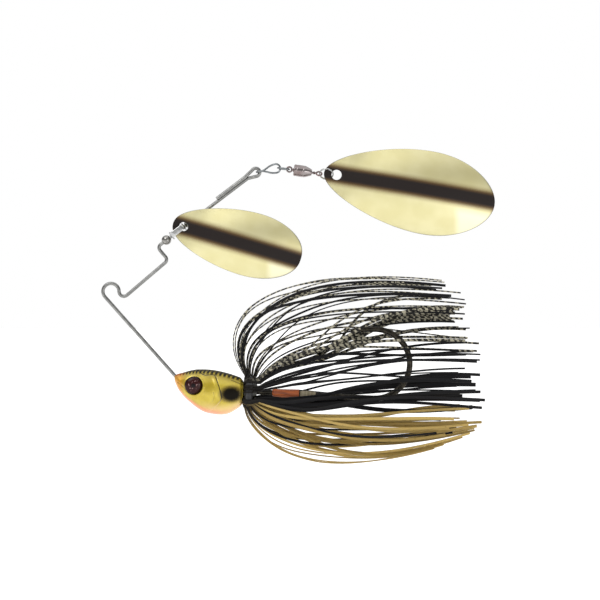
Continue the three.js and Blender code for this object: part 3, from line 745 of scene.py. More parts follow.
SPRING_WIRE = Metal("spring_wire", (0.27, 0.27, 0.26), (0.2, 0.2, 0.195), 0.27)
SILVER = Metal("bright_plate", (0.52, 0.52, 0.50), (0.36, 0.365, 0.37), 0.1, 0.002)
DARK_NICKEL = Metal("dark_nickel", (0.28, 0.25, 0.247), (0.16, 0.105, 0.10), 0.09, 0.0006, stain=0.3)
BALL_STEEL = Metal("ball_steel", (0.45, 0.45, 0.45), (0.3, 0.3, 0.3), 0.08, 0.0005, (1, 1, 1), own=False)
BEAD_PLATE = Metal("bead_plate", (0.33, 0.32, 0.30), (0.2, 0.195, 0.185), 0.08, 0.001)
GREY_WIRE = Metal("grey_wire", (0.25, 0.265, 0.275), (0.15, 0.16, 0.165), 0.2, 0.003)
HOOK_BRONZE = Metal("black_bronze", (0.05, 0.044, 0.034), (0.024, 0.022, 0.018), 0.24, 0.004)
BAND_RUBBER = SoftPlastic("band_rubber", (0.012, 0.012, 0.014), (0.03, 0.03, 0.032), 0.5)
ORANGE_TUBE = SoftPlastic("orange_tube", (0.52, 0.12, 0.022), (0.20, 0.045, 0.014), 0.34, (0.25, 2.2, 2.2))
THREAD = SoftPlastic("thread_wrap", (0.22, 0.185, 0.115), (0.36, 0.31, 0.21), 0.6, (3.0, 0.4, 0.4))


# ---- The wire frame ----
@dataclass
class BentWire:
    """Points along a wire that is bent in the middle plane, run by run."""

    start: Point
    runs: list[Array] = field(default_factory=list)

    def __post_init__(self) -> None:
        """The first run is the start itself."""
        self.runs.append(np.array([self.start], float))

    @property
    def end(self) -> Array:
        """Where the wire has got to."""
        return self.runs[-1][-1]

    def line(self, x: float, z: float, y: float = 0.0) -> None:
        """A straight leg to a point."""
        share = np.linspace(0.0, 1.0, 24)[1:, None]
        self.runs.append(self.end * (1.0 - share) + np.array([x, y, z]) * share)

    def arc(self, x: float, z: float, radius: float, start: float, stop: float) -> None:
        """An arc about x, z between two angles in degrees: x + r cos a, z + r sin a."""
        angle = np.radians(np.linspace(start, stop, max(int(abs(stop - start) / 3), 6))[1:])
        points = [x + radius * np.cos(angle), 0.0 * angle, z + radius * np.sin(angle)]
        self.runs.append(np.stack(points, axis=-1))

    def legs(self, corners: list[tuple[float, float]], radius: float) -> None:
        """Straight legs through corners, each corner but the last rounded by one radius."""
        for corner, after in zip(corners, corners[1:]):
            here = np.array([self.end[0], self.end[2]])
            into = unit(np.array(corner) - here)
            out = unit(np.array(after) - np.array(corner))
            turn = math.atan2(into[0] * out[1] - into[1] * out[0], float(into @ out))
            inset, side = radius * math.tan(abs(turn) / 2.0), math.copysign(1.0, turn)
            begin = np.array(corner) - into * inset
            centre = begin + np.array([-into[1], into[0]]) * radius * side
            first = math.degrees(math.atan2(begin[1] - centre[1], begin[0] - centre[0]))
            self.line(begin[0], begin[1])
            self.arc(centre[0], centre[1], radius, first, first + math.degrees(turn))
        self.line(*corners[-1])

    def points(self, spacing: float) -> Array:
        """The whole wire at one spacing."""
        return spaced(np.concatenate(self.runs), spacing)


@dataclass
class WireFrame:
    """The bent spring wire, from its end in the head to the doubled tail at the end of the upper arm."""

    wire_d: float = 0.9
    tie_r: float = 2.08
    dip_r: float = 1.25
    lower_arm: float = 27.5
    lower_angle: float = -48.4
    upper_leg: float = 14.0
    leg_angle: float = 40.4
    kink_leg: float = 4.4
    kink_angle: float = 130.6
    kink_r: float = 1.1
    top_arm: float = 31.95
    top_angle: float = 37.2
    loop_r: float = 1.05
    loop_neck: float = 2.6
    tail: float = 12.2
    tail_rise: float = 0.62
    tail_forward: float = 0.78

    def __post_init__(self) -> None:
        """Works out the places that the legs set."""
        self.tie_start = polar(0.0, 0.0, self.tie_r, self.lower_angle - 90.0)
        self.nose = polar(*self.tie_start, self.lower_arm, self.lower_angle)
        self.dip = (self.tie_r + self.dip_r, 0.0)
        dip_end = polar(*self.dip, self.dip_r, self.leg_angle - 90.0)
        self.kink_out = polar(*dip_end, self.upper_leg, self.leg_angle)
        self.kink_in = polar(*self.kink_out, self.kink_leg, self.kink_angle)
        self.loop = polar(*self.kink_in, self.top_arm, self.top_angle)

    @property
    def head_place(self) -> Place:
        """The head's frame, at the nose."""
        return Place(*self.nose)

    @property
    def arm_place(self) -> Place:
        """The upper arm's frame, at the kink."""
        return Place(*self.kink_in, self.top_angle)

    def along_arm(self, back: float, rise: float = 0.0) -> tuple[float, float]:
        """A point measured back from the end loop, and up from the arm's line."""
        return polar(*polar(*self.loop, -back, self.top_angle), rise, self.top_angle + 90.0)

    def path(self, spacing: float) -> Array:
        """The wire's centre line at one spacing: legs, arcs, one loop and a straight tail."""
        inside = 1.2
        start = polar(*self.nose, inside, self.lower_angle)
        wire = BentWire((start[0], 0.0, start[1]))
        wire.line(*self.tie_start)
        wire.arc(0.0, 0.0, self.tie_r, self.lower_angle + 270.0, 0.0)
        wire.arc(*self.dip, self.dip_r, 180.0, self.leg_angle + 270.0)
        wire.legs([self.kink_out, self.kink_in, self.along_arm(self.loop_neck)], self.kink_r)
        opening = math.degrees(math.acos(self.loop_r / self.loop_neck))
        back = self.top_angle + 180.0
        wire.line(*polar(*self.loop, self.loop_r, back + opening))
        wire.arc(*self.loop, self.loop_r, back + opening, back + 360.0 - opening)
        wire.line(*self.along_arm(self.loop_neck + 0.6, self.tail_rise), -self.tail_forward)
        wire.line(*self.along_arm(self.tail, self.tail_rise), -self.tail_forward)
        return wire.points(spacing)

    def build(self, shop: Workshop) -> None:
        """Draws the wire as a smooth round bar, whose own coordinates are length along and the section's."""
        path = self.path(WIRE_STEP)
        section = ellipse(self.wire_d / 2, self.wire_d / 2, 20)
        points = carried(path, section)
        steps = np.broadcast_to(np.arange(len(path))[:, None, None] * WIRE_STEP, points.shape[:2] + (1,))
        ring = np.broadcast_to(section, points.shape[:2] + (2,))
        skin = Skin()
        skin.grid(points, np.concatenate([steps, ring], axis=-1))
        shop.piece("bent_wire", skin, SPRING_WIRE, "frame", "wire_form")


# ---- Beads, clevis and stop ----
@dataclass
class ClevisStack:
    """What rides on the upper arm: a bead, the folded clevis, a second bead and a crimped stop."""

    arm: Place
    bore: float = 0.55
    bead_d: float = 2.5
    bead_at: float = 3.0
    upper_bead_d: float = 2.2
    strip_width: float = 1.5
    strip: float = 0.4
    ear_d: float = 2.3
    span: float = 3.5
    reach: float = 3.1
    leg_low: float = 4.8
    stop_length: float = 1.8
    stop_d: float = 1.7

    @property
    def leg_high(self) -> float:
        """The upper leg's middle, along the arm."""
        return self.leg_low + self.span + self.strip

    def bead(self, diameter: float, at: float) -> Skin:
        """A ball with a bore: r = sqrt(R^2 - x^2) outside, joined to the bore's wall."""
        half = math.acos(self.bore / (diameter / 2))
        angle = np.linspace(-half, half, 40)
        outer = np.stack([np.sin(angle), np.cos(angle)], axis=-1) * diameter / 2
        inner = np.stack([np.linspace(outer[-1, 0], outer[0, 0], 6)[1:-1], np.full(4, self.bore)], axis=-1)
        local = turned(np.concatenate([outer, inner]))
        skin = Skin()
        skin.grid(self.arm.put(local + np.array([at, 0, 0])), local, loop=True)
        return skin

    def clevis(self) -> Skin:
        """The strip follows a U of two legs and a bow with rounded corners, and a washer ends each leg."""
        low, high = self.leg_low, self.leg_high
        deep = self.reach + self.strip / 2
        corner = 0.85
        start, stop = -0.75, -deep + corner
        leg = np.linspace(start, stop, 10)
        turn = np.radians(np.linspace(0.0, 90.0, 12)[1:])
        down = np.stack([np.full(10, low), leg], axis=-1)
        bend = np.stack([low + corner * (1 - np.cos(turn)), stop - corner * np.sin(turn)], axis=-1)
        half = np.concatenate([down, bend])
        other = np.stack([low + high - half[::-1, 0], half[::-1, 1]], axis=-1)
        flat = np.concatenate([half, other])
        path = np.stack([flat[:, 0], flat[:, 1], 0.0 * flat[:, 0]], axis=-1)
        path = spaced(path, 0.12)
        strip = carried(path, rounded_bar(self.strip_width, self.strip), (0.0, 0.0, 1.0))
        skin = Skin()
        skin.grid(self.arm.put(strip), strip)
        thick = self.strip / 2
        rim = self.ear_d / 2
        soft = np.radians(np.linspace(-90.0, 90.0, 9))
        outer = np.stack([thick * np.sin(soft), rim - 0.12 + 0.12 * np.cos(soft)], axis=-1)
        inner = np.array([[thick, self.bore + 0.05], [0.0, self.bore], [-thick, self.bore + 0.05]])
        washer = turned(np.concatenate([outer, inner]))
        for place in (low, high):
            local = washer + np.array([place, 0.0, 0.0])
            skin.grid(self.arm.put(local), local, loop=True)
        return skin

    def stop(self, at: float) -> Skin:
        """A tube whose middle is nipped in: r = R - dent * exp(-(x / w)^2)."""
        x = np.linspace(-self.stop_length / 2, self.stop_length / 2, 24)
        dent = 0.16 * np.exp(-((x / 0.28) ** 2))
        outer = np.stack([x, self.stop_d / 2 - dent - 0.1 * np.abs(x / x[-1]) ** 12], axis=-1)
        inner = np.stack([x[::-4], np.full(6, self.bore)], axis=-1)
        local = turned(np.concatenate([outer, inner]))
        skin = Skin()
        skin.grid(self.arm.put(local + np.array([at, 0, 0])), local, loop=True)
        return skin

    def build(self, shop: Workshop) -> None:
        """Draws the four pieces."""
        gap = 0.1
        upper = self.leg_high + self.strip / 2 + gap + self.upper_bead_d / 2
        stop = upper + self.upper_bead_d / 2 + gap + self.stop_length / 2
        beads = (
            ("lower_ball", self.bead(self.bead_d, self.bead_at), "lower_bead"),
            ("upper_ball", self.bead(self.upper_bead_d, upper), "upper_bead"),
        )
        for name, ball, node in beads:
            shop.piece(name, ball, BEAD_PLATE, node, node)
        shop.piece("folded_clevis", self.clevis(), SILVER, "clevis", "front_clevis")
        shop.piece("nipped_stop", self.stop(stop), SILVER, "frame", "stop_crimp")


# ---- Blades ----
@dataclass
class Blade:
    """A cupped blade with a hole in its neck, in a frame at the hole with X to the tip and Z across."""

    name: str
    node: str
    body: str
    place: Place
    length: float
    width: float
    inset: float
    hole_r: float
    thickness: float
    cup: float
    neck_power: float
    tip_power: float
    finish: BladeFinish
    slide: float = 0.0  # how far the plate hangs out along its own X from the joint's axis
    skew: float = 1.4
    flat: float = 0.13

    def half_width(self, u: Array) -> Array:
        """Half the width at a share u of the length: W/2 * sin(pi u^skew)^p, with one power for each half."""
        swell = np.clip(u, 0.0, 1.0) ** self.skew
        power = np.where(swell < 0.5, self.neck_power, self.tip_power)
        return self.width / 2 * np.maximum(np.sin(math.pi * swell), 0.0) ** power

    def bulge(self, x: Array, across: Array) -> Array:
        """Height of the dome: cup * sin(pi k) * (1 - v^2), where k runs from the flat neck to the tip."""
        u = (x + self.inset) / self.length
        k = np.clip((u - self.flat) / (1.0 - self.flat), 0.0, 1.0)
        v = np.clip(across / np.maximum(self.half_width(u), 0.3), -1.0, 1.0)
        return self.cup * np.sin(math.pi * k) * (1.0 - v * v)

    def edge_reach(self, angle: Array) -> Array:
        """Distance from the hole's middle to the outline, for each direction."""
        u = (1.0 - np.cos(np.linspace(0.0, math.pi, 4000))) / 2.0
        x, half = u * self.length - self.inset, self.half_width(u)
        bearing, reach = np.arctan2(half, x), np.hypot(half, x)
        order = np.argsort(bearing)
        return np.interp(np.abs(angle), bearing[order], reach[order])

    def build(self, shop: Workshop) -> None:
        """Carries the plate's section, with round edges, round the hole along rays to the outline.

        A ray's distance is hole + (edge - hole) s. The section goes out over one face and back on the other.
        """
        around, out = 288, 72
        turn = np.linspace(-math.pi, math.pi, around, endpoint=False)
        angle = turn + 0.12 * np.sin(turn)
        half = self.thickness / 2
        arc = np.radians(np.linspace(90.0, -90.0, 7)[1:-1])
        share = np.linspace(0.0, 1.0, out) ** 1.15
        face, turned_in, rise = np.full(out, half), half * (1 - np.cos(arc)), half * np.sin(arc)
        inset = np.concatenate([face, turned_in, face, turned_in])
        s = np.concatenate([share, np.ones(5), share[::-1], np.zeros(5)])
        lift = np.concatenate([-face, -rise, face, rise])
        inner, outer = self.hole_r, self.edge_reach(angle)
        near = inner + inset * 0.6
        reach = near + (outer[:, None] - inset * 0.6 - near) * s
        x, across = reach * np.cos(angle)[:, None], reach * np.sin(angle)[:, None]
        y = lift - self.bulge(x, across)
        local = np.stack([x, y, across], axis=-1)
        skin = Skin()
        skin.grid(self.place.put(local + np.array([self.slide, 0.0, 0.0])), local, loop=True)
        made = shop.piece(self.name, skin, self.finish, self.body, self.node)
        rim = np.clip(1.0 - (outer[:, None] - reach) / 0.45, 0.0, 1.0)
        outside = np.broadcast_to(lift < half * 0.5, rim.shape)
        paint(made, "rim", rim)
        paint(made, "outside", outside)


# ---- Snap, rings and swivel ----
@dataclass
class RearChain:
    """Snap, solid ring, ball-bearing swivel and split ring, each in the frame of its own joint."""

    snap_rise: float = 11.0
    ring_rise: float = -7.0
    swivel_rise: float = -8.0
    split_rise: float = -2.0
    wire_d: float = 0.5
    snap_length: float = 6.2
    snap_narrow: float = 0.95
    snap_wide: float = 1.15
    snap_twist: float = 84.0
    ring_r: float = 1.45
    eye_wire_d: float = 0.45
    front_eye_r: float = 0.65
    rear_eye_r: float = 0.7
    barrel_d: float = 3.0
    barrel_length: float = 2.8
    cone_length: float = 1.9
    cone_end_d: float = 1.5
    front_neck: float = 0.5
    rear_neck: float = 1.2
    slack: float = 0.1
    split_r: float = 1.75
    split_tilt: float = 45.0

    @staticmethod
    def tube(skin: Skin, path: Array, radius: float, place: Place, closed: bool, reference: Point) -> None:
        """Adds a round wire along a path, in a frame, to a skin."""
        local = carried(path, ellipse(radius, radius, 16), reference, closed)
        skin.grid(place.put(local), local, loop=closed)

    def snap_path(self) -> Array:
        """An egg of two arcs and two straights, whose plane turns by the twist between its two ends."""
        wide_x = self.snap_length - self.snap_wide
        lean = math.asin((self.snap_wide - self.snap_narrow) / (wide_x - self.snap_narrow))
        first = np.linspace(math.pi, math.pi / 2 + lean, 12)
        last = np.linspace(math.pi / 2 + lean, 0.0, 16)
        narrow = np.stack([self.snap_narrow * (1 + np.cos(first)), self.snap_narrow * np.sin(first)], axis=-1)
        wide = np.stack([wide_x + self.snap_wide * np.cos(last), self.snap_wide * np.sin(last)], axis=-1)
        half = np.concatenate([narrow, wide])
        flat = np.concatenate([half, half[-2:0:-1] * np.array([1.0, -1.0])])
        line = np.stack([flat[:, 0], flat[:, 1], 0.0 * flat[:, 0]], axis=-1)
        line = spaced(line, 0.18, closed=True)
        twist = np.radians(self.snap_twist) * smooth_step(line[:, 0] / self.snap_length, 0.15, 0.85)
        return np.stack([line[:, 0], line[:, 1] * np.cos(twist), line[:, 1] * np.sin(twist)], axis=-1)

    def barrel(self, start: float) -> Array:
        """The barrel's profile: a rounded shoulder, a straight wall with two turned grooves, and a cone."""
        end, cone = start + self.barrel_length, start + self.barrel_length + self.cone_length
        r = self.barrel_d / 2
        wall = np.linspace(start + 0.3, end - 0.1, 44)
        middles = np.array([[start + 0.75], [end - 0.35]])
        groove = 0.05 * np.exp(-(((wall - middles) / 0.09) ** 2)).sum(axis=0)
        soft = np.radians(np.linspace(90.0, 0.0, 7)[:-1])
        shoulder = np.stack([start + 0.3 - 0.3 * np.sin(soft), r - 0.3 + 0.3 * np.cos(soft)], axis=-1)
        body = np.stack([wall, r - groove], axis=-1)
        t = np.linspace(0.0, 1.0, 14)[1:]
        narrowing = (self.cone_end_d / 2 - r) * (t * 0.75 + 0.25 * t * t)
        taper = np.stack([end + (cone - end) * t, r + narrowing], axis=-1)
        inner = np.array([[cone, 0.42], [cone - 0.6, 0.42], [start + 0.4, 0.42], [start, 0.42]])
        return np.concatenate([shoulder, body, taper, inner])

    def build(self, shop: Workshop) -> None:
        """Draws the chain from the frame's loop to the rear blade's hole."""
        snap = Place(pivot("snap_swing")[0], pivot("snap_swing")[2], self.snap_rise)
        egg = Skin()
        self.tube(egg, self.snap_path(), self.wire_d / 2, snap, True, (0.0, 0.02, 1.0))
        shop.piece("egg_snap", egg, GREY_WIRE, "snap", "snap")
        swivel = Place(pivot("swivel_swing")[0], pivot("swivel_swing")[2], self.swivel_rise)
        ring_start = polar(swivel.x, swivel.z, -2 * self.ring_r, self.ring_rise)
        ring = Place(*ring_start, self.ring_rise)
        circle = Skin()
        self.tube(circle, about_x(ring_path(self.ring_r), 90.0), self.wire_d / 2, ring, True, (0.0, 0.0, 1.0))
        shop.piece("round_ring", circle, GREY_WIRE, "solid_ring", "solid_ring")
        self.build_swivel(shop, swivel)
        self.build_split_ring(shop)
        for name in frame["nodes"]:
            if name.startswith("swivel_ball"):
                shop.refinish(name, BALL_STEEL)

    def build_swivel(self, shop: Workshop, swivel: Place) -> None:
        """Draws the barrel and both eyes, whose necks are a turned stud and two wires wound together."""
        half = self.eye_wire_d / 2
        front_eye = self.front_eye_r - half - self.slack - self.wire_d / 2
        start = front_eye + self.front_eye_r + self.front_neck
        cone = start + self.barrel_length + self.cone_length
        local = turned(self.barrel(start))
        skin = Skin()
        skin.grid(swivel.put(local), local, loop=True)
        shop.piece("swivel_body", skin, DARK_NICKEL, "swivel", "swivel_barrel")
        eye = Skin()
        path = ring_path(self.front_eye_r) + np.array([front_eye - self.front_eye_r, 0.0, 0.0])
        self.tube(eye, path, half, swivel, True, ACROSS)
        stud = [[-0.48, 0.3], [-0.22, 0.3], [-0.12, 0.55], [0.25, 0.55], [0.3, 0.1]]
        local = turned(np.array(stud) + np.array([start, 0.0]), 24)
        eye.grid(swivel.put(local), local)
        shop.piece("front_eye", eye, DARK_NICKEL, "swivel", "swivel_front_eye")
        rear = Skin()
        rear_eye = cone + self.rear_neck
        path = about_x(ring_path(self.rear_eye_r), self.split_tilt - 90.0) + np.array([rear_eye, 0.0, 0.0])
        tilt = math.radians(self.split_tilt - 90.0)
        self.tube(rear, path, half, swivel, True, (0.0, math.cos(tilt), math.sin(tilt)))
        t = np.linspace(0.0, 1.0, 60)
        along = cone - 0.5 + (self.rear_neck + 0.62) * t
        for phase in (0.0, math.pi):
            angle = phase + 2.0 * math.pi * 1.25 * t
            wound = np.stack([along, 0.2 * np.cos(angle), 0.2 * np.sin(angle)], axis=-1)
            self.tube(rear, wound, 0.19, swivel, False, (0.0, 0.3, 1.0))
        shop.piece("rear_eye", rear, DARK_NICKEL, "swivel_rotor", "swivel_rear_eye")

    def build_split_ring(self, shop: Workshop) -> None:
        """Draws the split ring: r = R over 1.9 turns, with a smooth step aside between its two coils."""
        place = Place(pivot("split_ring_swing")[0], pivot("split_ring_swing")[2], self.split_rise)
        turns = np.linspace(0.0, 1.9, 190)
        angle = 2.0 * math.pi * (turns + 0.3)
        side = 0.13 * (2.0 * smooth_step(turns, 0.8, 1.1) - 1.0)
        coil = np.stack([self.split_r * (1 - np.cos(angle)), side, self.split_r * np.sin(angle)], axis=-1)
        tilt = math.radians(self.split_tilt)
        reference = (0.0, math.cos(tilt), math.sin(tilt))
        skin = Skin()
        self.tube(skin, about_x(coil, self.split_tilt), 0.15, place, False, reference)
        shop.piece("coiled_ring", skin, SILVER, "split_ring", "split_ring")


# ---- Head and eyes ----
@dataclass
class LureHead:
    """The cast fish head in its own frame at the nose, with gill plates in relief and a socket for an eye."""

    place: Place
    length: float = 17.7
    height: float = 11.9
    width: float = 9.2
    eye_d: float = 4.6
    eye_at: tuple[float, float] = (4.8, -2.2)
    eye_seat: float = 3.3
    eye_proud: float = 1.1
    stem_d: float = 5.2
    stem_length: float = 3.6
    shank_rise: float = -3.18

    STATIONS = np.array([0.0, 0.03, 0.11, 0.24, 0.4, 0.57, 0.78, 1.0])
    # top, bottom and half width at each station, as shares of the height and of half the width
    LINES = np.array(
        [
            [0.02, -0.1, 0.16],
            [0.045, -0.21, 0.36],
            [0.078, -0.39, 0.6],
            [0.132, -0.58, 0.84],
            [0.155, -0.75, 1.0],
            [0.138, -0.82, 1.0],
            [0.07, -0.81, 0.93],
            [-0.04, -0.62, 0.8],
        ]
    )
    # relief lines on each flank, as x, z from the nose
    GILL = np.array(
        [
            [6.0, 1.4], [7.6, 0.45], [10.1, 0.4], [11.0, -1.4],
            [11.8, -4.0], [12.0, -5.6], [10.9, -7.2], [9.6, -8.4],
        ]
    )
    CHEEK = np.array([[9.9, -3.9], [10.1, -5.2], [9.7, -6.4]])
    FLANK = np.array([[14.5, -0.8], [16.0, -1.4], [17.6, -2.1]])
    MOUTH = np.array([[0.5, -1.3], [2.0, -2.5], [3.2, -3.9], [3.9, -4.6]])

    @staticmethod
    def nearness(x: Array, z: Array, line: Array, width: float) -> Array:
        """exp(-(d / w)^2), where d is the distance in side view from each point to a smooth line."""
        knots = np.linspace(0.0, 1.0, len(line))
        dense = eased_line(knots, line, np.linspace(0.0, 1.0, 90))
        gap = np.hypot(x[..., None] - dense[:, 0], z[..., None] - dense[:, 1]).min(axis=-1)
        return np.exp(-((gap / width) ** 2))

    def surface(self) -> tuple[Array, dict[str, Array]]:
        """The head's skin: ovals with the three lines' height and width at each station, and a rounded rear.

        Returns:
            (rows, columns, 3) points, and the painted values "top", "bottom" and "line".
        """
        rows, columns = 220, 200
        share = np.linspace(0.0, 1.0, rows) ** 1.25
        top, bottom, wide = eased_line(self.STATIONS, self.LINES, share).T
        tuck = 1.0 - 0.16 * smooth_step(share, 0.94, 1.0) ** 2
        angle = np.linspace(0.0, 2.0 * math.pi, columns, endpoint=False)
        middle = self.height / 2 * (top + bottom)[:, None]
        y = self.width / 2 * (wide * tuck)[:, None] * np.cos(angle)
        z = middle + self.height / 2 * ((top - bottom) * tuck)[:, None] * np.sin(angle)
        x = np.broadcast_to((share * self.length - 0.25)[:, None], y.shape)
        flank = np.abs(np.cos(angle))[None, :] ** 0.3
        gill = self.nearness(x, z, self.GILL, 0.17)
        cheek = self.nearness(x, z, self.CHEEK, 0.15)
        side_line = self.nearness(x, z, self.FLANK, 0.12)
        mouth = self.nearness(x, z, self.MOUTH, 0.13)
        line = np.maximum.reduce([gill, 0.55 * cheek, 0.8 * side_line, 0.6 * mouth]) * flank
        plate = self.nearness(x, z, self.GILL + np.array([-0.55, 0.1]), 0.55) * flank
        reach = np.hypot(x - self.eye_at[0], z - self.eye_at[1])
        brow = np.exp(-(((reach - self.eye_d / 2 - 0.25) / 0.3) ** 2)) * flank
        push = 0.16 * plate + 0.12 * brow - 0.2 * line
        normal = unit(np.stack([0 * y, y, (z - middle) * self.width / self.height], axis=-1))
        points = np.stack([x, y, z], axis=-1) + normal * push[..., None]
        seat = np.clip((self.eye_d / 2 + 0.12 - reach) / 0.14, 0.0, 1.0)
        floor = np.minimum(np.abs(points[..., 1]), self.eye_seat - 0.1)
        points[..., 1] = np.sign(points[..., 1]) * (np.abs(points[..., 1]) * (1 - seat) + floor * seat)
        spine = np.clip(np.sin(angle), 0.0, 1.0)[None, :] * np.ones((rows, 1))
        keel = np.clip(-np.sin(angle), 0.0, 1.0)[None, :] * np.ones((rows, 1))
        return points, {"top": spine, "bottom": keel, "line": line}

    def stem(self) -> Array:
        """The collar's stem behind the head: a rod that thins a little at its end."""
        r = self.stem_d / 2
        x = np.linspace(-1.2, self.stem_length, 40)
        thinning = 0.25 * smooth_step(x, 2.9, self.stem_length) + 0.15 * smooth_step(x, 0.0, 0.4)
        return turned(np.stack([x, r - thinning], axis=-1), 40)

    def eye(self, side: float) -> Array:
        """A disc with a domed face on the given side: height = proud * (1 - (r / R)^2)^0.4."""
        t = np.linspace(0.0, 1.0, 26)
        radius = self.eye_d / 2 * np.sin(t * math.pi / 2)
        dome = self.eye_proud * np.cos(t * math.pi / 2) ** 0.8
        out = np.concatenate([[0.0], dome[::-1]])
        r = np.concatenate([[self.eye_d / 2], radius[::-1][:-1], [1e-3]])
        disc = turned(np.stack([out, r], axis=-1), 64)
        x, y, z = np.moveaxis(disc, -1, 0)
        return np.stack([y * side, x * side, z], axis=-1)

    def build(self, shop: Workshop) -> None:
        """Draws the head with its stem, and both eyes."""
        local, painted = self.surface()
        skin = Skin()
        skin.grid(self.place.put(local), local)
        stem = Place(self.length - 0.3, -0.33 * self.height, self.shank_rise).put(self.stem())
        skin.grid(self.place.put(stem), stem)
        made = shop.piece("fish_head", skin, HeadPaint(), "frame", "head")
        for title, values in painted.items():
            paint(made, title, values)
        for side, node in ((-1.0, "eye_left"), (1.0, "eye_right")):
            disc = self.eye(side)
            moved = disc + np.array([self.eye_at[0], side * self.eye_seat, self.eye_at[1]])
            eye = Skin()
            eye.grid(self.place.put(moved), disc)
            shop.piece(f"domed_{node}", eye, EyeFinish(), "frame", node)


# ---- Hook and what is on its shank ----
@dataclass
class Hook:
    """The hook in the head's frame: a shank, a round bend, and a ground point with a barb."""

    place: Place
    wire_d: float = 1.36
    eye_at: tuple[float, float] = (10.8, -3.4)
    bend_r: float = 8.9
    bend_at: tuple[float, float] = (51.6, 3.25)
    point_at: tuple[float, float] = (44.8, 12.07)
    taper: float = 4.2

    @property
    def shank_rise(self) -> float:
        """How far the shank rises towards the bend, in degrees."""
        x, z = self.bend_at[0] - self.eye_at[0], self.bend_at[1] - self.eye_at[1]
        return math.degrees(math.atan2(z, x) - math.asin(self.bend_r / math.hypot(x, z)))

    def path(self, spacing: float) -> Array:
        """The wire's centre line at one spacing: a straight, an arc round the bend, and a straight."""
        start = polar(*self.eye_at, 6.5, self.shank_rise)
        wire = BentWire((start[0], 0.0, start[1]))
        wire.line(*polar(*self.bend_at, self.bend_r, self.shank_rise - 90.0))
        reach = (self.point_at[0] - self.bend_at[0], self.point_at[1] - self.bend_at[1])
        top = math.degrees(math.atan2(reach[1], reach[0]) - math.acos(self.bend_r / math.hypot(*reach)))
        wire.arc(*self.bend_at, self.bend_r, self.shank_rise - 90.0, top)
        wire.line(*self.point_at)
        return wire.points(spacing)

    def build(self, shop: Workshop) -> None:
        """Draws the wire and its barb.

        At a distance d from the point, over the taper's length, the radius is
        R (0.06 + 0.94 (1 - (1 - d / taper)^1.6)). The barb is a thin sliver that lifts off the inner side.
        """
        path = self.path(HOOK_STEP)
        along = np.linspace(1.0, 0.0, len(path)) * HOOK_STEP * (len(path) - 1)
        share = np.clip(along / self.taper, 0.0, 1.0)
        radius = self.wire_d / 2 * (0.06 + 0.94 * (1.0 - (1.0 - share) ** 1.6))
        flatten = 1.0 - 0.12 * smooth_step(along, 6.0, 12.0) * smooth_step(along, 40.0, 30.0)
        section = ellipse(1.0, 1.0, 20)[None] * radius[:, None, None]
        section = section * np.stack([flatten, 2.0 - flatten], axis=-1)[:, None, :]
        points = carried(path, section)
        steps = np.broadcast_to(along[:, None], points.shape[:2])
        ring = np.stack([steps, section[..., 0], section[..., 1]], axis=-1)
        skin = Skin()
        skin.grid(self.place.put(points), ring)
        t = np.linspace(0.0, 1.0, 14)
        tip, back = path[-1], unit(path[-8] - path[-1])
        inward = np.array([back[2], 0.0, -back[0]])
        inward = inward * np.sign(np.dot(inward, np.array([0.0, 0.0, -1.0])))
        line = tip + back * (1.5 + 2.2 * t[:, None]) + inward * (0.18 + 0.62 * t[:, None] ** 1.6)
        swell = 0.1 + 0.9 * np.sin(math.pi * (0.08 + 0.86 * (1 - t)) ** 0.6)
        barb = carried(line, ellipse(0.2, 0.14, 12)[None] * swell[:, None, None])
        skin.grid(self.place.put(barb), barb)
        shop.piece("bent_hook", skin, HOOK_BRONZE, "frame", "hook")


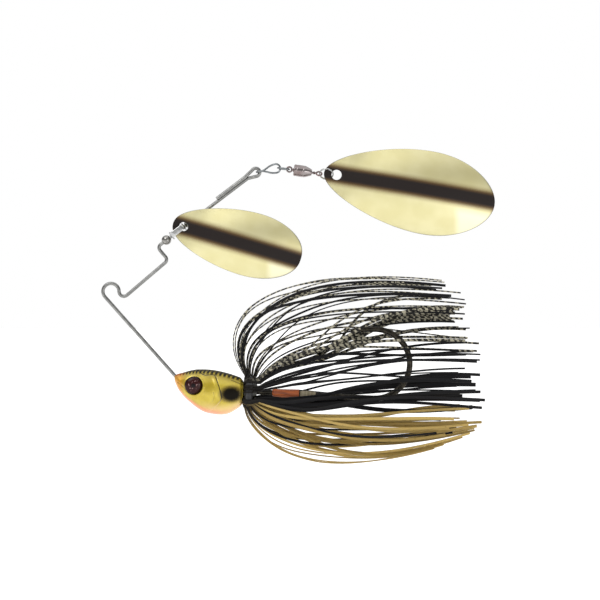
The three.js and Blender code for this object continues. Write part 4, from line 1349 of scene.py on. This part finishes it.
@dataclass
class ShankTrim:
    """The tapered keeper sleeve, the wound thread behind it and the skirt's band, all round the shank."""

    shank: Place
    bore: float = 0.73
    sleeve_at: float = 14.2
    sleeve_length: float = 6.9
    sleeve_thin: float = 1.9
    sleeve_thick: float = 2.4
    wrap_at: float = 21.4
    wrap_length: float = 4.0
    wrap_d: float = 1.95
    band_at: float = 7.2
    band_width: float = 2.0
    band_d: float = 8.0
    stem_r: float = 2.7

    def sleeve(self) -> Array:
        """r rises from the thin end to the thick one with a faint roll, and the thick end is cut square."""
        t = np.linspace(0.0, 1.0, 50)
        r = self.sleeve_thin / 2 + (self.sleeve_thick - self.sleeve_thin) / 2 * t ** 0.8
        r = r + 0.04 * np.sin(9.0 * t) * t * (1 - t) - 0.25 * np.clip(1 - t / 0.06, 0, 1) ** 2
        outer = np.stack([self.sleeve_at + self.sleeve_length * t, r], axis=-1)
        inner = np.array([[outer[-1, 0], self.bore], [outer[0, 0], self.bore]])
        return turned(np.concatenate([outer, inner]))

    def wrap(self) -> Array:
        """Close turns of thread: r = R + 0.06 |sin(pi x / pitch)| over the wrap's length."""
        x = np.linspace(0.0, self.wrap_length, 260)
        ends = np.clip(np.minimum(x, self.wrap_length - x) / 0.5, 0.0, 1.0)
        turns = 0.06 * np.abs(np.sin(math.pi * x / 0.25))
        r = self.bore + (self.wrap_d / 2 - 0.06 - self.bore) * (0.3 + 0.7 * ends) + turns
        outer = np.stack([self.wrap_at + x, r], axis=-1)
        inner = np.array([[outer[-1, 0], self.bore - 0.02], [outer[0, 0], self.bore - 0.02]])
        return turned(np.concatenate([outer, inner]), 32)

    def band(self) -> Array:
        """A rolled rubber collar: r = R - depth (2x / w - 1)^4, with five small ribs."""
        x = np.linspace(0.0, 1.0, 60)
        r = self.band_d / 2 - 0.75 * (2 * x - 1) ** 4 + 0.06 * np.cos(2 * math.pi * 5 * x)
        outer = np.stack([self.band_at + self.band_width * x, r], axis=-1)
        inner = np.array([[outer[-1, 0], self.stem_r], [outer[0, 0], self.stem_r]])
        return turned(np.concatenate([outer, inner]), 64)

    def build(self, shop: Workshop) -> None:
        """Draws the three pieces."""
        rows = (
            ("tapered_sleeve", self.sleeve(), ORANGE_TUBE, "orange", "keeper_sleeve"),
            ("thread_winding", self.wrap(), THREAD, "wrap", "shank_wrap"),
            ("rolled_band", self.band(), BAND_RUBBER, "band", "skirt_band"),
        )
        for name, local, finish, slot, node in rows:
            skin = Skin()
            skin.grid(self.shank.put(local), local, loop=True)
            shop.piece(name, skin, finish, "frame", node)


# ---- Skirt ----
@dataclass(frozen=True)
class Tuft:
    """A bunch of strands: how many on each side, which levels they leave and reach, and how they lie."""

    left: int
    right: int
    leave: tuple[float, float]
    arrive: tuple[float, float]
    width: tuple[float, float]
    turn: tuple[float, float] = (-30.0, 45.0)
    cut: tuple[float, float] = (0.93, 1.0)
    depth: tuple[float, float] = (0.05, 0.95)
    stray: float = 0.1  # share of the length at which it starts to leave its first level


@dataclass
class Skirt:
    """Silicone strands in the six fans' space, from level 0 at its top border to level 3 at its bottom."""

    place: Place
    shank: Place
    thickness: float = 0.32
    inside: tuple[float, float] = (1.8, 2.45)
    outside: tuple[float, float] = (4.4, 8.2)
    steps: int = 34
    root_at: float = 6.95
    root_r: float = 3.05
    over_at: float = 8.1
    over_r: float = 4.3

    # cubic curves from the band to the tips: the borders at levels 0, 1, 2 and 3, as x, z from the nose
    BORDERS = np.array(
        [
            [[17.7, 0.6], [7.4, 15.4], [24.0, 30.5], [73.2, 24.8]],
            [[21.2, -1.2], [27.0, 7.5], [43.5, 10.5], [79.0, 9.0]],
            [[21.2, -6.2], [29.5, -8.0], [45.5, -11.0], [79.5, -11.0]],
            [[17.8, -7.8], [18.3, -16.6], [38.3, -31.2], [76.0, -15.3]],
        ]
    )
    TUFTS = {
        Strand.BARRED: (
            Tuft(5, 3, (0.0, 0.25), (0.0, 0.16), (0.22, 0.32), (60, 100), (0.86, 1.0)),
            Tuft(3, 0, (0.2, 0.55), (0.1, 0.55), (0.28, 0.45), (40, 110)),
            Tuft(0, 3, (0.25, 0.75), (0.1, 0.8), (0.28, 0.45), (40, 110)),
            Tuft(0, 3, (0.55, 0.85), (0.55, 0.95), (0.6, 0.8), (0, 70)),
            Tuft(1, 6, (0.98, 1.22), (0.32, 0.8), (0.75, 0.95), (-25, 45), stray=0.45),
            Tuft(2, 0, (0.98, 1.12), (0.85, 1.1), (0.6, 0.9), (-20, 60), (0.95, 1.0), stray=0.5),
            Tuft(0, 4, (0.95, 1.25), (0.6, 1.08), (0.6, 0.9), (-20, 60), (0.95, 1.0), stray=0.4),
            Tuft(2, 0, (0.98, 1.2), (0.3, 0.5), (0.5, 0.7), (-10, 60), (0.9, 1.0), stray=0.3),
        ),
        Strand.BLACK: (
            Tuft(2, 1, (0.12, 0.3), (0.02, 0.3), (0.7, 0.9), (-10, 60)),
            Tuft(3, 0, (0.3, 0.6), (0.1, 0.55), (0.35, 0.65), (0, 80)),
            Tuft(0, 3, (0.4, 0.95), (0.1, 1.0), (0.35, 0.65), (0, 80)),
            Tuft(1, 4, (1.05, 1.6), (0.8, 1.45), (0.6, 0.9), (-20, 50)),
            Tuft(3, 0, (1.15, 1.5), (0.95, 1.5), (0.5, 0.8), (-15, 45)),
            Tuft(3, 4, (1.4, 1.85), (1.15, 1.7), (0.4, 0.6), (-10, 60)),
            Tuft(4, 4, (1.8, 2.1), (1.4, 1.75), (0.8, 1.1), (-25, 25)),
            Tuft(2, 4, (1.9, 2.1), (1.6, 1.9), (0.9, 1.2), (-25, 25)),
            Tuft(3, 2, (2.15, 2.7), (1.9, 2.5), (0.45, 0.75), (-20, 40), (0.8, 0.97)),
            Tuft(1, 1, (2.75, 2.95), (2.4, 2.8), (0.7, 0.9), (0, 50), (0.86, 0.95)),
        ),
        Strand.OLIVE: (
            Tuft(9, 8, (2.08, 2.6), (1.76, 2.6), (0.7, 1.05), (-30, 40), (0.9, 1.0)),
            Tuft(5, 5, (2.45, 2.9), (2.35, 3.0), (0.6, 0.9), (-20, 60), (0.88, 1.0)),
            Tuft(2, 2, (2.9, 3.0), (2.85, 3.0), (0.28, 0.38), (50, 90), (0.84, 0.97)),
        ),
    }
    FINISHES = {
        Strand.BARRED: Silicone(
            "smoke_barred_silicone", Strand.BARRED, (0.43, 0.4, 0.3), (0.01, 0.009, 0.008)
        ),
        Strand.BLACK: Silicone("black_silicone", Strand.BLACK, (0.007, 0.007, 0.008), (0.02, 0.02, 0.022)),
        Strand.OLIVE: Silicone("olive_gold_silicone", Strand.OLIVE, (0.54, 0.385, 0.125), (0.2, 0.12, 0.025)),
    }
    LAYERS = {Strand.BARRED: "upper", Strand.BLACK: "middle", Strand.OLIVE: "lower"}

    def surface(self, level: Array, s: Array) -> Array:
        """Points of the fan at a level and a share of the length: a straight line between two Bezier borders.

        Args:
            level: (strands, steps) from 0 to 3.
            s: (strands, steps) from 0 at the band to 1 at the tips.

        Returns:
            (strands, steps, 2) x and z.
        """
        weights = np.stack([(1 - s) ** 3, 3 * s * (1 - s) ** 2, 3 * s * s * (1 - s), s**3], axis=-1)
        lines = np.einsum("nkc,bcd->nkbd", weights, self.BORDERS)
        low = np.clip(np.floor(level), 0, 2).astype(int)
        t = (level - low)[..., None]
        first = np.take_along_axis(lines, low[..., None, None], axis=2)[:, :, 0]
        second = np.take_along_axis(lines, low[..., None, None] + 1, axis=2)[:, :, 0]
        return first * (1 - t) + second * t

    def folded(self, path: Array, level: Array) -> Array:
        """Leads each strand out from under the band before its fan begins.

        The root and the crest stand at their own radii round the shank, in the direction of the fan's first
        point, and a smooth line goes through root, crest and the fan's first points. A strand of the middle
        levels crests over the band, and one of the outer levels flares in front of it.

        Args:
            path: (strands, steps, 3) points of the fan.
            level: (strands, 1) levels that the strands leave from.

        Returns:
            (strands, steps + 10, 3) points.
        """
        first = path[:, 0]
        origin = self.shank.x - self.place.x, self.shank.z - self.place.z
        c, s = math.cos(math.radians(self.shank.rise)), math.sin(math.radians(self.shank.rise))
        along = (first[:, 0] - origin[0]) * c + (first[:, 2] - origin[1]) * s
        off = first - np.stack([origin[0] + along * c, 0 * along, origin[1] + along * s], axis=-1)
        out = unit(off)
        over = smooth_step(np.abs(level[:, 0] - 1.5), 1.35, 0.75)
        crest = self.root_at + 0.2 + (self.over_at - self.root_at - 0.2) * over
        spots = []
        for at, radius in ((self.root_at, self.root_r), (self.root_at + 0.1, 3.75), (crest, self.over_r)):
            here = at + 0.0 * crest
            middle = np.stack([origin[0] + here * c, 0 * here, origin[1] + here * s], axis=-1)
            spots.append(middle + out * radius)
        knots = np.array([0.0, 1.0, 2.4, 4.6, 6.4])
        values = np.stack([*spots, path[:, 1], path[:, 3]], axis=0)
        lead = eased_line(knots, values.reshape(5, -1), np.linspace(0.0, 4.6, 12)).reshape(12, -1, 3)
        return np.concatenate([np.moveaxis(lead, 0, 1), path[:, 2:]], axis=1)

    def strands(
        self, tuft: Tuft, count: int, side: float, random: np.random.Generator
    ) -> tuple[Array, Array]:
        """Flat strands of one tuft.

        A strand's level goes smoothly from the one it leaves to the one it reaches, with a small sine on top.
        Its depth stays between the near and the far side of its half of the skirt.

        Args:
            tuft: the bunch.
            count: how many strands it has on this side.
            side: -1 on the left of the hook, and 1 on its right.
            random: where the draws come from.

        Returns:
            (strands, steps, corners, 3) points, and the strands' own coordinates of them.
        """

        def draw(span: tuple[float, float]) -> Array:
            """One number for each strand, between two."""
            return random.uniform(*span, (count, 1))

        order = (random.permutation(count)[:, None] + draw((0.1, 0.9))) / count
        leave = tuft.leave[0] + (tuft.leave[1] - tuft.leave[0]) * order
        target = (random.permutation(count)[:, None] + draw((0.05, 0.95))) / count
        arrive = tuft.arrive[0] + (tuft.arrive[1] - tuft.arrive[0]) * target
        share = np.linspace(0.0, 1.0, self.steps)[None, :]
        s = share * draw(tuft.cut)
        blend = smooth_step(share, tuft.stray, 1.0)
        wave = draw((0.02, 0.07)) * np.sin(draw((3.0, 7.0)) * share + draw((0.0, 6.3)))
        wave = wave * smooth_step(share, 0.1, 0.6)
        level = np.clip(leave * (1 - blend) + arrive * blend + wave, 0.0, 3.0)
        flat = self.surface(level, s)
        deep = draw(tuft.depth)
        drift = 0.16 * np.sin(draw((2.0, 4.5)) * share + draw((0.0, 6.3))) * share
        spread = smooth_step(s, 0.0, 0.5)
        beside = smooth_step(np.abs(level - 1.25), 0.95, 0.75)
        near = 0.4 + (self.inside[0] + (self.inside[1] - self.inside[0]) * spread - 0.4) * beside
        far = self.outside[0] + (self.outside[1] - self.outside[0]) * spread
        y = side * (near + (far - near) * np.clip(deep + drift, 0.03, 0.97))
        y = y * (1 - 0.35 * smooth_step(s, 0.16, 0.0) * deep)
        path = self.folded(np.stack([flat[..., 0], y, flat[..., 1]], axis=-1), leave)
        lengths = np.cumsum(np.linalg.norm(np.diff(path, axis=1, prepend=path[:, :1]), axis=-1), axis=1)
        run = lengths / lengths[:, -1:]
        twist = np.radians(draw(tuft.turn) * smooth_step(run, 0.0, 0.25) + draw((-55.0, 55.0)) * run)
        width = draw(tuft.width) * (0.7 + 0.3 * smooth_step(run, 0.05, 0.3))
        base = rounded_bar(1.0, 1.0, 8, 0.6)
        across, thick = base[:, 0] * width[..., None], base[:, 1] * self.thickness
        c, sn = np.cos(twist)[..., None], np.sin(twist)[..., None]
        section = np.stack([across * sn - thick * c, across * c + thick * sn], axis=-1)
        points = carried(path, section)
        number = random.uniform(0.0, 10.0, (count, 1, 1))
        full = points.shape[:3]
        own = [np.broadcast_to(v, full) for v in (lengths[..., None], across, number)]
        return points, np.stack(own, axis=-1)

    def build(self, shop: Workshop) -> None:
        """Draws one piece for each kind of strand on each side of the hook."""
        for seed, (side, word) in enumerate(((-1.0, "left"), (1.0, "right"))):
            for kind, tufts in self.TUFTS.items():
                random = np.random.default_rng(1200 + 31 * seed + list(Strand).index(kind))
                skin = Skin()
                for tuft in tufts:
                    points, own = self.strands(tuft, getattr(tuft, word), side, random)
                    skin.grid(self.place.put(points), own)
                node = f"skirt_{self.LAYERS[kind]}_{word}"
                name = f"{kind.value}_strands_{word}"
                shop.piece(name, skin, self.FINISHES[kind], "frame", node)


# ---- Studio ----
@dataclass
class Studio:
    """A pale floor under the lure, soft light from above and behind the camera, and the camera itself."""

    view_width: float = 155.04
    look_at: Point = (48.84, 0.0, -2.2)
    lens: float = 135.0
    sensor: float = 36.0
    floor_z: float = -125.0
    floor_r: float = 9000.0
    # the room's grey at each height, from 0 at the bottom to 1 at the top
    room: tuple[tuple[float, float], ...] = (
        (0.0, 0.5), (0.48, 0.7), (0.56, 0.75), (0.67, 0.38), (0.78, 0.38), (0.86, 1.3),
    )

    def floor(self, shop: Workshop) -> None:
        """A disc: rings of radius R s^3 at one height."""
        s = np.linspace(0.02, 1.0, 24) ** 3
        angle = np.linspace(0.0, 2.0 * math.pi, 96, endpoint=False)
        radius = self.floor_r * s[::-1, None]
        x, y = radius * np.cos(angle), radius * np.sin(angle)
        points = np.stack([x, y, np.full(x.shape, self.floor_z)], axis=-1)
        skin = Skin()
        skin.grid(points, points, caps=False)
        mesh = skin.mesh("studio_floor")
        mesh.materials.append(shop.material(Backdrop()))
        made = bpy.data.objects.new("studio_floor", mesh)
        bpy.context.scene.collection.objects.link(made)

    def world(self) -> None:
        """A white room whose light has a dim belt above eye level and a bright ceiling."""
        sheet = Sheet(bpy.data.worlds.new("white_room"))
        bpy.context.scene.world = sheet.owner
        way = sheet.node("ShaderNodeTexCoord").outputs["Generated"]
        rise = sheet.value(sheet.node("ShaderNodeSeparateXYZ", inputs={0: way}), "Z") * 0.5 + 0.5
        stops = [(place, (grey, grey, grey)) for place, grey in self.room]
        room = sheet.node("ShaderNodeValToRGB", {"stops": stops}, {0: rise})
        light = sheet.node("ShaderNodeBackground", inputs={"Color": room.outputs[0]})
        wall = sheet.node("ShaderNodeBackground", inputs={"Color": (1.0, 1.0, 1.0)})
        seen = sheet.node("ShaderNodeLightPath").outputs["Is Camera Ray"]
        both = sheet.node("ShaderNodeMixShader", inputs={0: seen, 1: light.outputs[0], 2: wall.outputs[0]})
        sheet.node("ShaderNodeOutputWorld", inputs={"Surface": both.outputs[0]})

    @staticmethod
    def lamp(name: str, at: Point, size: float, power: float, aim: Point = (0.045, 0.0, 0.0)) -> None:
        """A square soft light at a point in metres that faces the lure."""
        light = bpy.data.lights.new(name, "AREA")
        light.size = size
        light.energy = power
        made = bpy.data.objects.new(name, light)
        bpy.context.scene.collection.objects.link(made)
        made.location = at
        direction = Vector(aim) - Vector(at)
        made.rotation_euler = direction.to_track_quat("-Z", "Y").to_euler()

    def camera(self) -> None:
        """Level with the lure, on its left flank, at the distance that gives the view its width."""
        data = bpy.data.cameras.new("flank_camera")
        data.lens = self.lens
        data.sensor_width = self.sensor
        data.clip_start, data.clip_end = 0.01, 50.0
        made = bpy.data.objects.new("flank_camera", data)
        bpy.context.scene.collection.objects.link(made)
        distance = self.view_width * self.lens / self.sensor
        made.location = (self.look_at[0] * MM, -distance * MM, self.look_at[2] * MM)
        made.rotation_euler = (math.pi / 2, 0.0, 0.0)
        bpy.context.scene.camera = made

    def build(self, shop: Workshop) -> None:
        """Sets the floor, the room, the lamps and the camera."""
        self.floor(shop)
        self.world()
        self.lamp("key_softbox", (-0.35, -0.55, 0.6), 0.5, 2.6)
        self.lamp("low_fill", (0.45, -0.6, -0.05), 0.35, 0.7)
        self.camera()
        bpy.context.scene.view_settings.view_transform = "Standard"


def main() -> None:
    """Builds the sub-assemblies in order, then the studio."""
    logging.basicConfig(level=logging.INFO, format="%(name)s: %(message)s")
    shop = Workshop()
    wire = WireFrame()
    wire.build(shop)
    stack = ClevisStack(wire.arm_place)
    stack.build(shop)
    front, rear = pivot("front_blade_swing"), pivot("rear_blade_swing")
    Blade(
        name="front_spoon", node="front_blade", body="front_blade",
        place=Place(front[0], front[2], -15.0, front[1] + 0.4),
        length=34.2, width=16.6, inset=2.85, hole_r=1.15, thickness=0.55, cup=2.2,
        neck_power=0.32, tip_power=0.42,
        # the finish's last number is where its painted highlight starts along the blade
        finish=BladeFinish("front_gold_plate", shift=0.0, slope=-0.025, painted_highlight=21.5),
    ).build(shop)
    Blade(
        name="rear_spoon", node="rear_blade", body="rear_blade",
        place=Place(rear[0], rear[2], -11.2),
        length=44.9, width=21.6, inset=3.3, hole_r=1.3, thickness=0.5, cup=2.8,
        neck_power=0.38, tip_power=0.5,
        # the finish's last number is where its painted highlight starts along the blade
        finish=BladeFinish("rear_gold_plate", shift=0.15, slope=0.024, painted_highlight=30.0),
        slide=0.905,
    ).build(shop)
    RearChain().build(shop)
    LureHead(wire.head_place).build(shop)
    hook = Hook(wire.head_place)
    hook.build(shop)
    eye = wire.head_place.put(np.array([hook.eye_at[0], 0.0, hook.eye_at[1]]))
    shank = Place(float(eye[0]), float(eye[2]), hook.shank_rise)
    ShankTrim(shank).build(shop)
    Skirt(wire.head_place, shank).build(shop)
    Studio().build(shop)
    log.info("%d pieces", len(shop.made))
    bpy.context.view_layer.update()


if __name__ == "__main__":
    main()
